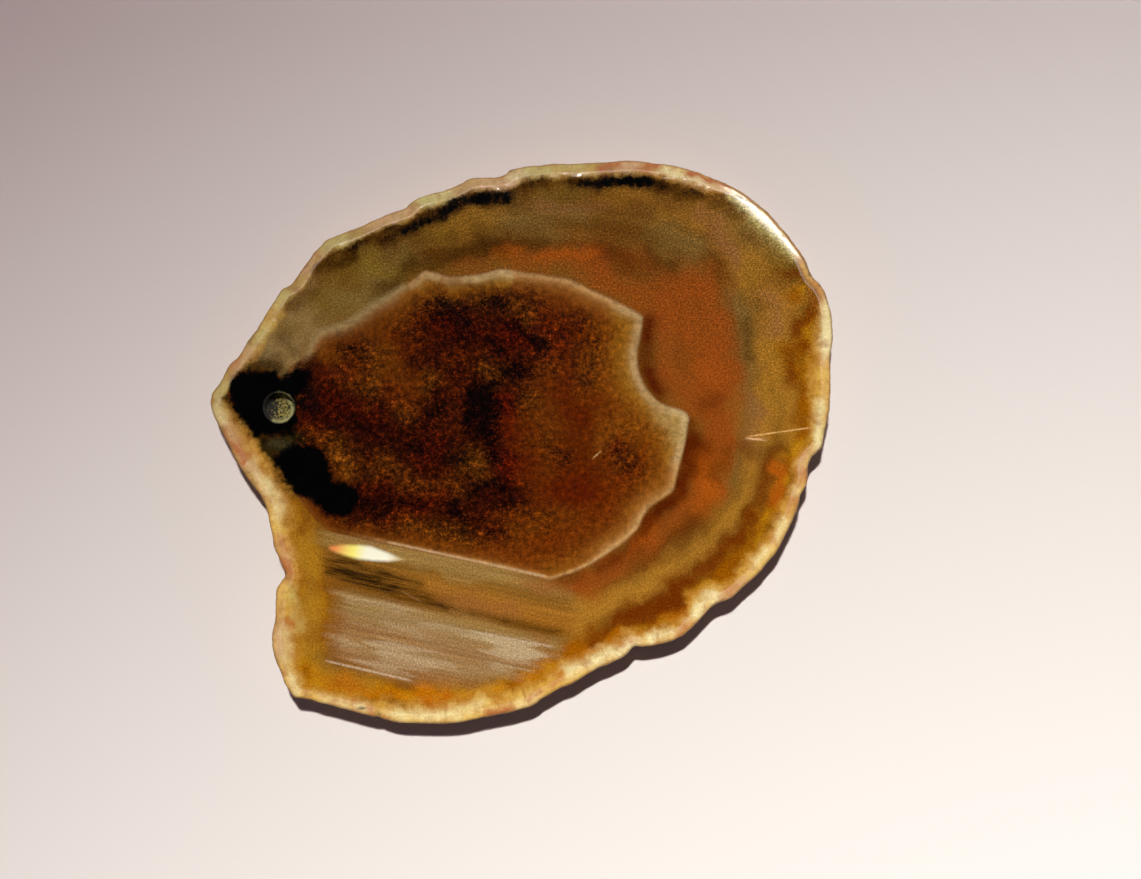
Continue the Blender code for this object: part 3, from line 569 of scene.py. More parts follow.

# The same for the rind: its own stains, with shade as painted shade on the upper-left rind, and white and yellow partly
# a painted glow of light through the stone
RIND_STROKES = {
    "green": (
        (8, 0.9, ((408, 204), (424, 200), (444, 197))),
        (6, 0.7, ((530, 170), (546, 171))),
        (8, 0.6, ((322, 246), (334, 242), (344, 242))),
        (7, 0.5, ((284, 296), (276, 306))),
        (7, 0.55, ((266, 330), (260, 342))),
        (4, 0.9, ((274, 480), (278, 486))),
        (7, 0.45, ((824, 318), (826, 338))),
        (8, 0.8, ((296, 592), (300, 612), (302, 628))),
        (6, 0.5, ((218, 400), (220, 386))),
        (6, 0.5, ((562, 168), (580, 168))),
        (5, 0.5, ((700, 590), (704, 586))),
        (7, 0.5, ((818, 412), (816, 436))),
        (6, 0.45, ((680, 176), (690, 178))),
    ),
    "pink": (
        (7, 0.4, ((456, 188), (466, 186), (478, 184))),
        (8, 0.7, ((376, 222), (396, 216), (408, 210))),
        (7, 0.55, ((304, 270), (314, 258))),
        (8, 0.7, ((486, 184), (500, 186), (512, 184))),
        (6, 0.9, ((620, 168), (636, 166))),
        (7, 0.6, ((696, 182), (716, 186))),
        (6, 0.5, ((238, 366), (250, 352))),
        (7, 0.5, ((790, 478), (796, 470), (804, 456))),
        (8, 0.5, ((722, 600), (734, 590), (744, 580))),
        (8, 0.6, ((244, 456), (256, 472))),
        (8, 0.5, ((240, 440), (230, 424))),
        (8, 0.4, ((284, 540), (290, 556))),
        (8, 0.5, ((276, 634), (280, 646))),
        (6, 0.5, ((690, 616), (680, 626))),
        (7, 0.35, ((820, 360), (824, 352))),
    ),
    "rust": (
        (8, 0.15, ((279, 606), (281, 640), (284, 668))),
        (7, 0.3, ((246, 452), (255, 466))),
        (7, 0.3, ((790, 452), (791, 470))),
        (8, 0.35, ((540, 673), (556, 668))),
        (5.0, 0.9, ((602, 170), (608, 165), (616, 164))),
        (5.0, 0.95, ((643, 172), (648, 166), (656, 165))),
        (3.2, 0.95, ((690, 173), (704, 177), (716, 182), (728, 186))),
        (4.5, 0.8, ((236, 446), (241, 454), (246, 461))),
        (3.5, 0.45, ((224, 432), (232, 446))),
        (5.0, 0.75, ((285, 560), (289, 572))),
        (4.0, 0.7, ((286, 620), (291, 624))),
        (6.0, 0.5, ((280, 536), (286, 548))),
        (6.0, 0.55, ((814, 288), (820, 298))),
        (6.0, 0.5, ((690, 628), (680, 632))),
        (5.0, 0.55, ((618, 644), (630, 640))),
        (4.0, 0.8, ((488, 714), (500, 712), (510, 709))),
        (4.0, 0.6, ((540, 690), (528, 698))),
        (5.0, 0.6, ((720, 598), (734, 588))),
        (4.0, 0.5, ((502, 174), (510, 170))),
        (4.0, 0.5, ((792, 500), (786, 512))),
        (3.0, 0.6, ((352, 702), (356, 710))),
        (3.0, 0.6, ((368, 706), (372, 714))),
        (3.0, 0.5, ((384, 712), (388, 719))),
        (3.0, 0.4, ((332, 698), (334, 706))),
        (4.0, 0.5, ((560, 674), (552, 684))),
        (4.0, 0.5, ((776, 540), (768, 536))),
        (4.0, 0.5, ((806, 470), (800, 482))),
        (4.0, 0.4, ((240, 355), (232, 368))),
        (6.0, 0.35, ((262, 500), (268, 516))),
    ),
    "white": (
        (8, 0.4, ((819, 446), (820, 462), (816, 476))),
        (7, 1.0, ((702, 592), (710, 594), (716, 597))),
        (6, 0.9, ((700, 606), (696, 612))),
        (6, 0.9, ((650, 637), (658, 633), (668, 630))),
        (9, 1.0, ((598, 654), (612, 649), (628, 643))),
        (8, 0.8, ((822, 302), (826, 326), (825, 350))),
        (8, 0.7, ((272, 488), (280, 500), (284, 516))),
        (8, 0.5, ((690, 180), (704, 184))),
        (8, 0.9, ((570, 668), (580, 662), (592, 658))),
        (7, 0.8, ((666, 172), (678, 176), (688, 182))),
        (7, 0.6, ((252, 464), (262, 476), (270, 486))),
        (7, 0.3, ((326, 700), (344, 704))),
        (7, 0.6, ((358, 704), (366, 706))),
        (8, 0.65, ((396, 712), (430, 714), (456, 712))),
        (7, 0.5, ((466, 708), (480, 704))),
        (9, 0.4, ((286, 632), (290, 646), (286, 656))),
        (6, 0.55, ((292, 676), (298, 690))),
        (7, 0.8, ((826, 322), (827, 344))),
        (7, 0.6, ((818, 404), (818, 420), (816, 440))),
        (6, 0.5, ((510, 176), (522, 174))),
        (7, 0.6, ((782, 520), (776, 536))),
        (7, 0.6, ((764, 550), (754, 562))),
        (6, 0.4, ((794, 486), (790, 494))),
        (7, 0.4, ((216, 410), (224, 420))),
        (7, 0.4, ((520, 704), (534, 696))),
        (6, 0.4, ((448, 190), (440, 194))),
    ),
    "yellow": (
        (9, 0.45, ((722, 588), (736, 580), (756, 570), (772, 556), (786, 546))),
        (9, 0.45, ((302, 692), (311, 703), (326, 712))),
        (8, 0.45, ((478, 733), (492, 729), (508, 724))),
        (9, 0.9, ((272, 512), (280, 526), (284, 540))),
        (9, 0.6, ((286, 590), (290, 606))),
        (9, 0.7, ((520, 700), (550, 686), (580, 670))),
        (9, 0.7, ((380, 708), (410, 714), (440, 716), (480, 712))),
        (9, 0.75, ((786, 512), (776, 538), (756, 562))),
        (9, 0.5, ((820, 380), (816, 420), (810, 445))),
        (4.5, 1.0, ((694, 600), (697, 592), (704, 586), (712, 586))),
        (7, 0.7, ((606, 656), (624, 648))),
        (7, 0.5, ((276, 306), (266, 326))),
        (9, 0.6, ((824, 322), (822, 346), (820, 370))),
        (7, 0.4, ((296, 690), (310, 696))),
        (7, 0.5, ((668, 630), (650, 636))),
        (6, 0.4, ((545, 172), (590, 170))),
    ),
    # shade: painted shade that makes the upper-left rind olive and less golden
    "shade": ((15, 0.6, ((210, 404), (220, 430), (234, 452))), (9, 0.35, ((277, 610), (280, 640), (283, 668))), (22, 1.0, ((216, 404), (222, 380), (250, 340), (284, 292), (315, 250), (360, 228), (420, 200), (480, 184), (540, 170), (600, 166))), (17, 0.5, ((600, 166), (640, 166)))),
    "spot": (
        (2.2, 1.0, ((379, 713), (379.5, 714))),
        (2.0, 0.9, ((362, 708), (364, 708))),
        (1.6, 0.9, ((830, 362), (830, 364))),
        (1.6, 0.7, ((825, 430), (824, 432))),
        (1.6, 0.6, ((823, 440), (822, 441))),
        (3.0, 0.8, ((504, 172), (508, 171), (511, 170))),
        (2.4, 0.6, ((284, 572), (284, 577))),
        (2.2, 0.45, ((262, 316), (254, 330), (246, 342))),
        (2.2, 0.4, ((298, 272), (312, 253))),
        (1.6, 0.35, ((272, 616), (272, 628))),
        (2.4, 0.7, ((804, 258), (810, 270), (814, 278))),
        (2.0, 0.6, ((822, 286), (828, 298), (830, 306))),
        (1.8, 0.4, ((242, 470), (256, 490))),
        (2.2, 0.4, ((214, 388), (224, 372), (236, 356))),
        (2.0, 0.35, ((218, 426), (228, 446))),
    ),
}  # fmt: skip


# ---------------------------------------------------------------- plane geometry
def to_metres(points):
    points = np.asarray(points, float)
    return np.stack([(points[:, 0] - CENTRE[0]) * UNIT, (CENTRE[1] - points[:, 1]) * UNIT], 1)


def smooth_loop(drawn, steps=12):
    """A closed centripetal Catmull-Rom curve through the drawn rows, whose first two columns are x and y."""
    p = np.asarray(drawn, float)
    rows = []
    n = len(p)
    for i in range(n):
        p0, p1, p2, p3 = p[i - 1], p[i], p[(i + 1) % n], p[(i + 2) % n]
        t1 = math.sqrt(np.linalg.norm((p1 - p0)[:2]))
        t2 = t1 + math.sqrt(np.linalg.norm((p2 - p1)[:2]))
        t3 = t2 + math.sqrt(np.linalg.norm((p3 - p2)[:2]))
        t = (t1 + (t2 - t1) * np.arange(steps) / steps)[:, None]
        a1 = p0 * (t1 - t) / t1 + p1 * t / t1
        a2 = p1 * (t2 - t) / (t2 - t1) + p2 * (t - t1) / (t2 - t1)
        a3 = p2 * (t3 - t) / (t3 - t2) + p3 * (t - t2) / (t3 - t2)
        b1 = a1 * (t2 - t) / t2 + a2 * t / t2
        b2 = a2 * (t3 - t) / (t3 - t1) + a3 * (t - t1) / (t3 - t1)
        rows.append(b1 * (t2 - t) / (t2 - t1) + b2 * (t - t1) / (t2 - t1))
    return np.concatenate(rows)


def even_loop(loop, count):
    ends = np.vstack([loop, loop[:1]])
    arc = np.concatenate([[0.0], np.cumsum(np.linalg.norm(np.diff(ends[:, :2], axis=0), axis=1))])
    want = arc[-1] * np.arange(count) / count
    return np.stack([np.interp(want, arc, ends[:, k]) for k in range(ends.shape[1])], 1)


def nearest(points, path, closed=False):
    """Distance from each point to a path, the segment that it is nearest to, and where along that segment."""
    path = np.asarray(path, float)[:, :2]
    a = path
    b = np.roll(path, -1, 0) if closed else path[1:]
    a = a if closed else path[:-1]
    d = b - a
    length2 = np.maximum((d**2).sum(1), 1e-12)
    far, which, share = [], [], []
    for k in range(0, len(points), 4096):
        q = points[k : k + 4096]
        t = ((q[:, None, 0] - a[None, :, 0]) * d[None, :, 0] + (q[:, None, 1] - a[None, :, 1]) * d[None, :, 1]) / length2
        t = np.clip(t, 0.0, 1.0)
        dx = q[:, None, 0] - a[None, :, 0] - t * d[None, :, 0]
        dy = q[:, None, 1] - a[None, :, 1] - t * d[None, :, 1]
        gap = dx * dx + dy * dy
        j = gap.argmin(1)
        rows = np.arange(len(q))
        far.append(np.sqrt(gap[rows, j]))
        which.append(j)
        share.append(t[rows, j])
    return np.concatenate(far), np.concatenate(which), np.concatenate(share)


def inside(points, loop):
    """True for each point inside a closed loop."""
    loop = np.asarray(loop, float)[:, :2]
    a, b = loop, np.roll(loop, -1, 0)
    found = []
    for k in range(0, len(points), 4096):
        q = points[k : k + 4096]
        between = (a[None, :, 1] > q[:, None, 1]) != (b[None, :, 1] > q[:, None, 1])
        with np.errstate(divide="ignore", invalid="ignore"):
            x = (b[None, :, 0] - a[None, :, 0]) * (q[:, None, 1] - a[None, :, 1]) / (b[None, :, 1] - a[None, :, 1]) + a[None, :, 0]
        found.append(((between & (q[:, None, 0] < x)).sum(1) % 2) == 1)
    return np.concatenate(found)


def signed(points, loop):
    """Distance to a closed loop, above 0 inside it."""
    far = nearest(points, loop, closed=True)[0]
    return np.where(inside(points, loop), far, -far)


def painted(points, strokes):
    """How much of a layer lies at each point, from 0 to 1."""
    left = np.ones(len(points))
    for width, strength, path in strokes:
        path = np.asarray(path, float)
        near = np.ones(len(points), bool)
        for k in (0, 1):
            near &= (points[:, k] > path[:, k].min() - 3 * width) & (points[:, k] < path[:, k].max() + 3 * width)
        if near.any():
            far = nearest(points[near], path)[0]
            left[near] *= 1.0 - strength * np.exp(-((far / width) ** 2))
    return 1.0 - left


def noise_at(x, y, z):
    return np.array([noise.noise(Vector(v)) for v in zip(x, y, z)])


def wandered(points, size, reach, seed):
    """The points moved about smoothly by up to about reach, over distances of size millimetres."""
    x, y = points[:, 0] / MM / size, points[:, 1] / MM / size
    flat = np.full(len(points), float(seed))
    return points + reach * np.stack([noise_at(x, y, flat), noise_at(x + 31.0, y - 17.0, flat)], 1)


# ---------------------------------------------------------------- the stone's mesh
RIM_LOOP = smooth_loop(OUTLINE[::-1])
RIM = even_loop(RIM_LOOP, RIM_POINTS)
LINE_LOOP = smooth_loop(LINE, 8)


def rim_frame():
    """The rim in metres, its outward direction, and that direction evened out along the rim."""
    base = to_metres(RIM)
    ahead = np.roll(base, -1, 0) - np.roll(base, 1, 0)
    out = np.stack([ahead[:, 1], -ahead[:, 0]], 1)
    out /= np.linalg.norm(out, axis=1)[:, None]
    reach = 22
    lean = np.zeros_like(out)
    for k in range(-reach, reach + 1):
        lean += np.roll(out, -k, 0) * (reach + 1 - abs(k))
    lean /= np.linalg.norm(lean, axis=1)[:, None]
    return base, out, lean


def edge_rows():
    """Levels of the rind's wall from the underside up: (height, how far in it stands, its share of the taper, its share of the fine roughness)."""
    t, b = TOP_EDGE_DEPTH, BOTTOM_EDGE_DEPTH
    rows = [(0.0, BOTTOM_EDGE_WIDTH, 1.0, 0.0), (b * 0.4, BOTTOM_EDGE_WIDTH * 0.45, 1.0, 0.35), (b, 0.00003, 1.0, 0.7)]
    low, high = b, THICKNESS - t
    for k in range(1, 13):
        u = k / 13
        z = low + (high - low) * u
        share = np.interp(z, [b, THICKNESS * 0.33, THICKNESS * 0.63, THICKNESS - t], [1.0, 0.75, 0.3, 0.0])
        rows.append((z, 0.0, float(share), 1.0))
    rows += [(THICKNESS - t, 0.0, 0.0, 0.75), (THICKNESS - t * 0.6, TOP_EDGE_WIDTH * 0.14, 0.0, 0.5), (THICKNESS - t * 0.35, TOP_EDGE_WIDTH * 0.35, 0.0, 0.4), (THICKNESS - t * 0.12, TOP_EDGE_WIDTH * 0.68, 0.0, 0.2), (THICKNESS, TOP_EDGE_WIDTH, 0.0, 0.0)]
    return rows


def wall_points():
    base, out, lean = rim_frame()
    turn = 2 * math.pi * np.arange(RIM_POINTS) / RIM_POINTS
    taper = TAPER + TAPER_SWING * np.sin(turn * 2 + 0.8)
    lump = LUMP_HEIGHT * noise_at(base[:, 0] / LUMP_SIZE, base[:, 1] / LUMP_SIZE, np.zeros(RIM_POINTS))
    rows = []
    for z, inset, share, fine in edge_rows():
        zz = np.full(RIM_POINTS, z)
        coarse = noise_at(base[:, 0] / 0.0011, base[:, 1] / 0.0011, zz / 0.0009)
        mid = noise_at(base[:, 0] / 0.00045 + 7, base[:, 1] / 0.00045, zz / 0.0004)
        small = noise_at(base[:, 0] / 0.00022 + 3, base[:, 1] / 0.00022, zz / 0.0002)
        cut = 0.00007 * (coarse - 0.5) + 0.00006 * (np.minimum(mid, 0.25) - 0.25) + 0.00003 * (small - 0.4)
        q = base + out * (lump + fine * cut)[:, None] - lean * (inset + taper * share)[:, None]
        rows.append(np.column_stack([q, zz]))
    return rows


def to_drawing(xy):
    return np.stack([xy[:, 0] / UNIT + CENTRE[0], CENTRE[1] - xy[:, 1] / UNIT], 1)


def hexes(low, high, step, shift=0.0):
    rise = step * math.sqrt(3) / 2
    ys = np.arange(low[1], high[1], rise)
    found = []
    for k, y in enumerate(ys):
        xs = np.arange(low[0] + (k % 2) * step / 2 + shift, high[0], step)
        found.append(np.stack([xs, np.full(len(xs), y + shift)], 1))
    return np.concatenate(found)


def thin(points, others, least):
    """The points that are at least that far from every one of the others."""
    if not len(others):
        return points
    far = nearest_points(points, others, least)
    return points[far]


def nearest_points(points, others, least):
    cell = {}
    for i, (x, y) in enumerate(others):
        cell.setdefault((int(x // least), int(y // least)), []).append((x, y))
    keep = np.ones(len(points), bool)
    limit = least * least
    for i, (x, y) in enumerate(points):
        cx, cy = int(x // least), int(y // least)
        for dx in (-1, 0, 1):
            for dy in (-1, 0, 1):
                for ox, oy in cell.get((cx + dx, cy + dy), ()):
                    if (ox - x) ** 2 + (oy - y) ** 2 < limit:
                        keep[i] = False
                        break
                if not keep[i]:
                    break
            if not keep[i]:
                break
    return keep


def rind_share(points):
    """Distance in from the outline, and the same as a share of the rind's width there."""
    far, which, share = nearest(points, RIM, closed=True)
    place = (which + share) / RIM_POINTS
    anchors = np.asarray(RIND_WIDTH, float)
    f, w, s = nearest(anchors[:, :2], RIM, closed=True)
    at = (w + s) / RIM_POINTS
    order = np.argsort(at)
    width = np.interp(place, at[order], anchors[order, 2], period=1.0)
    far = np.where(inside(points, RIM), far, 0.0)
    return far, far / width, place


facet_line = [np.array(FACET_FROM), np.array(FACET_TO)]


def facet_drop(points):
    """How far the ground flat at the round end lies below the top face, in metres, at drawing points."""
    a, b = facet_line
    along = (b - a) / np.linalg.norm(b - a)
    beyond = (points[:, 0] - a[0]) * along[1] - (points[:, 1] - a[1]) * along[0]
    eased = (beyond + np.sqrt(beyond**2 + FACET_EASE**2)) / 2
    return np.tan(FACET_TILT) * np.maximum(0.0, eased - 0.25) * UNIT


def groove(points, path, half):
    """1 along a path, falling to 0 at half to each side."""
    far = nearest(points, path)[0]
    return np.clip(1.0 - far / half, 0.0, 1.0)


CRACK = ((749, 436.3), (770, 434), (790, 431.2), (813, 427.4))
CRACK_SHORT = ((746.5, 438.2), (766.5, 440.2))
SCRATCH = ((592.5, 458.6), (601.5, 450.4))


def top_relief(points, far, share):
    """How far the top face lies below its plane, in metres: pores and chips in the rind, the flaw's dish, and the cracks."""
    x, y = points[:, 0] / MM, points[:, 1] / MM
    rind = np.clip((1.08 - share) / 0.2, 0.0, 1.0)
    pores = np.zeros(len(points))
    near = rind > 0
    low = noise_at(x[near] / 0.9, y[near] / 0.9, np.full(near.sum(), 3.1))
    mid = noise_at(x[near] / 0.42, y[near] / 0.42, np.full(near.sum(), 1.7))
    fine = noise_at(x[near] / 0.24, y[near] / 0.24, np.full(near.sum(), 5.3))
    pores[near] = 0.000012 * (low + 0.6) + 0.00003 * np.clip(mid - 0.05, 0, 1) + 0.000018 * np.clip(fine - 0.1, 0, 1)
    drop = rind * np.maximum(pores, 0.0)
    edge = np.clip(1.0 - far / 9.0, 0.0, 1.0) ** 2
    chip = noise_at(x / 0.8 + 11, y / 0.8, np.zeros(len(points)))
    drop += 0.00009 * edge * np.clip(chip - 0.12, 0.0, 1.0)
    drop += 0.00002 * groove(points, CRACK, 1.6) + 0.00002 * groove(points, CRACK_SHORT, 1.6) + 0.000012 * groove(points, SCRATCH, 1.2)
    lens = np.clip(signed(points, LENS) / 6.0, 0.0, 1.0)
    drop += 0.00003 * (1 - (1 - lens) ** 2)
    drop += 0.00000012 * (noise_at(x / 5, y / 5, np.full(len(points), 9.0)) + 1.0)
    flat = np.clip(facet_drop(points) / UNIT / 1.2, 0.0, 1.0)
    drop += 0.0000035 * flat * (noise_at(x / 0.8, y / 0.8, np.full(len(points), 2.0)) + 1.0)
    return drop


def cap(loop, hole, extra, step_fine, step_mid, fine_zone):
    """A flat triangulated face inside a loop and outside a hole, if there is one, with small triangles in the rind. Returns its points and triangles; the loop's points come first, then the hole's."""
    bound = np.concatenate([loop, hole, extra])
    low, high = loop.min(0), loop.max(0)
    fine = hexes(low, high, step_fine)
    fine = fine[inside(fine, loop)]
    far, share, _ = rind_share(fine)
    fine = fine[share < fine_zone]
    mid = hexes(low, high, step_mid, 0.37)
    mid = mid[inside(mid, loop)]
    _, share, _ = rind_share(mid)
    mid = mid[share >= fine_zone]
    hole_centre = np.array(HOLE_CENTRE)
    radius = np.linalg.norm(hole - hole_centre, axis=1).max() if len(hole) else 0.0
    grid = []
    for found, step in ((fine, step_fine), (mid, step_mid)):
        if len(hole):
            found = found[np.linalg.norm(found - hole_centre, axis=1) > radius + step * 0.5]
        found = found[nearest(found, loop, closed=True)[0] > step * 0.45]
        found = thin(found, bound, step * 0.5)
        grid.append(found)
    if len(extra):
        grid = [thin(g, extra, s * 0.6) for g, s in zip(grid, (step_fine, step_mid))]
    points = np.concatenate([bound] + grid)
    n, m = len(loop), len(hole)
    edges = [(i, (i + 1) % n) for i in range(n)] + [(n + i, n + (i + 1) % m) for i in range(m)]
    coords, _, faces, origin, _, _ = geometry.delaunay_2d_cdt([Vector(p) for p in points], edges, [], 1, 1e-7)
    back = {i: o[0] for i, o in enumerate(origin) if o}
    if len(back) != len(coords) or len(coords) != len(points):
        raise RuntimeError(f"the face gained or lost points: {len(points)} to {len(coords)}")
    triangles = np.array([[back[v] for v in f] for f in faces])
    if m:
        triangles = triangles[~inside(points[triangles].mean(1), hole)]
    return points, triangles


def stone():
    rows = wall_points()
    n = RIM_POINTS
    top_loop, low_loop = to_drawing(rows[-1][:, :2]), to_drawing(rows[0][:, :2])
    turn = 2 * math.pi * np.arange(HOLE_SIDES) / HOLE_SIDES
    circle = np.stack([np.cos(turn), -np.sin(turn)], 1)
    wide = (HOLE_RADIUS + HOLE_CHAMFER) / UNIT
    hole_loop = np.array(HOLE_CENTRE) + circle * wide

    # The ground flat starts at the top loop's own points next to the drawn line
    a, b = facet_line
    along = (b - a) / np.linalg.norm(b - a)
    side = (top_loop[:, 0] - a[0]) * along[1] - (top_loop[:, 1] - a[1]) * along[0]
    out = side > 0
    first = next(i for i in range(n) if out[i] and not out[i - 1])
    last = first
    while out[(last + 1) % n]:
        last = (last + 1) % n
    # start is the lower end of the line and end the upper one, because the loop runs counter-clockwise
    start, end = top_loop[(first - 1) % n], top_loop[(last + 1) % n]
    facet_line[:] = [end, start]

    dense = []
    for path, half in ((CRACK, 1.6), (CRACK_SHORT, 1.6), (SCRATCH, 1.2)):
        path = np.asarray(path, float)
        for p, q in zip(path, path[1:]):
            d = (q - p) / np.linalg.norm(q - p)
            side_way = np.array([-d[1], d[0]])
            for s in np.arange(0.0, np.linalg.norm(q - p), 1.5):
                for off in (-half, -half / 2, 0.0, half / 2, half):
                    dense.append(p + d * s + side_way * off)
    lens = hexes((326, 542), (409, 564), 1.25)
    lens = lens[signed(lens, LENS) > -1.5]
    flat = hexes((700, 172), (822, 284), 1.5)
    flat = flat[inside(flat, top_loop)]
    flat = flat[(nearest(flat, top_loop, closed=True)[0] > 0.9) & (facet_drop(flat) > 0.5 * UNIT)]
    reach = wide + 11.0
    about = hexes(np.array(HOLE_CENTRE) - reach, np.array(HOLE_CENTRE) + reach, 1.3)
    radius = np.linalg.norm(about - np.array(HOLE_CENTRE), axis=1)
    about = about[(radius > wide + 1.1) & (radius < reach)]
    corner = hexes((318, 540), (580, 690), 2.1)
    corner = corner[signed(corner, LAYERS) > -6]
    dense = np.concatenate([np.array(dense), lens, flat, about, corner])
    keep = [0]
    cells = {}
    limit = 0.5
    for i, (x, y) in enumerate(dense):
        key = (int(x // limit), int(y // limit))
        if any((key[0] + dx, key[1] + dy) in cells for dx in (-1, 0, 1) for dy in (-1, 0, 1)):
            continue
        cells[key] = i
        keep.append(i)
    dense = dense[sorted(set(keep))]

    top, top_faces = cap(top_loop, hole_loop, dense, 2.0, 3.0, 1.12)
    low, low_faces = cap(low_loop, np.zeros((0, 2)), np.zeros((0, 2)), 3.4, 4.4, 1.0)

    far, share, _ = rind_share(top)
    z_top = THICKNESS - facet_drop(top) - top_relief(top, far, share)
    far, share, _ = rind_share(low)
    z_low = 0.6 * top_relief(low + 40.0, far, share) * np.clip(far / 8.0, 0.0, 1.0)

    # vertices: the wall's rows without the top and bottom ones, then the faces', then the bore's
    drop = facet_drop(top_loop)
    points, faces = [], []
    wall = rows[1:-1]
    levels = edge_rows()[1:-1]
    for row, level in zip(wall, levels):
        row = row.copy()
        row[:, 2] -= drop * min(1.0, max(0.0, (level[0] - (THICKNESS - 0.0013)) / 0.0010))
        if level[0] > THICKNESS - TOP_EDGE_DEPTH * 0.7:
            row[:, 2] -= (THICKNESS - z_top[:n] - drop) * 0.6
        points.append(row)
    count = n * len(wall)
    top_start = count
    points.append(np.column_stack([to_metres(top), z_top]))
    count += len(top)
    low_start = count
    points.append(np.column_stack([to_metres(low), z_low]))
    count += len(low)

    def strip(lower, upper, m):
        i = np.arange(m)
        j = (i + 1) % m
        return np.stack([lower + i, lower + j, upper + j, upper + i], 1)

    quads = [strip(low_start, 0, n)]
    for k in range(len(wall) - 1):
        quads.append(strip(n * k, n * (k + 1), n))
    quads.append(strip(n * (len(wall) - 1), top_start, n))

    # the hole, from the middle of its bottom up: rounded bottom, straight wall with faint drill rings, chamfer
    m = HOLE_SIDES
    bore_levels = []
    for share in (0.12, 0.26, 0.4, 0.54, 0.68, 0.8, 0.9, 0.96):
        bore_levels.append((THICKNESS - HOLE_WALL - (HOLE_DEPTH - HOLE_WALL) * (1 - share**3), HOLE_RADIUS * share))
    for z in np.linspace(THICKNESS - HOLE_WALL, THICKNESS - HOLE_CHAMFER, 13):
        bore_levels.append((z, HOLE_RADIUS))
    bore_levels.append((THICKNESS - HOLE_CHAMFER * 0.5, HOLE_RADIUS + HOLE_CHAMFER * 0.5))
    centre = to_metres([HOLE_CENTRE])[0]
    bore_start = count
    for z, r in bore_levels:
        ring, rise = np.full(m, r), np.zeros(m)
        if r == HOLE_RADIUS:
            ring = ring + 0.000018 * noise_at(np.cos(turn) * 1.6, np.sin(turn) * 1.6, np.full(m, z / 0.00012)) + 0.000006
        elif r < HOLE_RADIUS:
            rise = 0.000035 * noise_at(np.cos(turn) * r / 0.00022, np.sin(turn) * r / 0.00022, np.full(m, 4.0))
        points.append(np.column_stack([centre[0] + ring * np.cos(turn), centre[1] + ring * np.sin(turn), z + rise]))
        count += m
    points.append(np.array([[centre[0], centre[1], THICKNESS - HOLE_DEPTH]]))
    fan = np.stack([np.full(m, count), bore_start + np.arange(m), bore_start + (np.arange(m) + 1) % m], 1)
    inner = [bore_start + m * k for k in range(len(bore_levels))] + [top_start + n]
    for lower, upper in zip(inner, inner[1:]):
        quads.append(strip(lower, upper, m)[:, ::-1])

    verts = np.concatenate(points)
    # kept inside the solid's own box
    for k in range(3):
        verts[:, k] = np.clip(verts[:, k], cad_low[k], cad_high[k])
    quads = np.concatenate(quads)
    # the drawing's Y runs down, so its triangles may come out either way round: each face is turned to look outwards
    def turned(points2, triangles, up):
        p = to_metres(points2)
        t = triangles
        area = np.cross(p[t[:, 1]] - p[t[:, 0]], p[t[:, 2]] - p[t[:, 0]])
        flip = (area < 0) if up else (area > 0)
        t = t.copy()
        t[flip] = t[flip][:, ::-1]
        return t

    top_tri = turned(top, top_faces, True) + top_start
    low_tri = turned(low, low_faces, False) + low_start
    mesh = bpy.data.meshes.new("agate_stone")
    loops = np.concatenate([quads.ravel(), top_tri.ravel(), low_tri.ravel(), fan.ravel()])
    sizes = np.concatenate([np.full(len(quads), 4), np.full(len(top_tri) + len(low_tri) + m, 3)])
    mesh.vertices.add(len(verts))
    mesh.vertices.foreach_set("co", verts.astype(np.float32).ravel())
    mesh.loops.add(len(loops))
    mesh.loops.foreach_set("vertex_index", loops.astype(np.int32))
    mesh.polygons.add(len(sizes))
    mesh.polygons.foreach_set("loop_start", np.concatenate([[0], np.cumsum(sizes)[:-1]]).astype(np.int32))
    mesh.polygons.foreach_set("loop_total", sizes.astype(np.int32))
    mesh.update(calc_edges=True)
    mesh.validate(verbose=True)
    mesh.shade_smooth()
    mesh.set_sharp_from_angle(angle=math.radians(38))
    kind = np.zeros(len(verts))
    kind[: n * len(wall)] = 1.0  # wall
    kind[bore_start:] = 2.0  # bore
    return mesh, verts, kind, (top_start, low_start, bore_start)


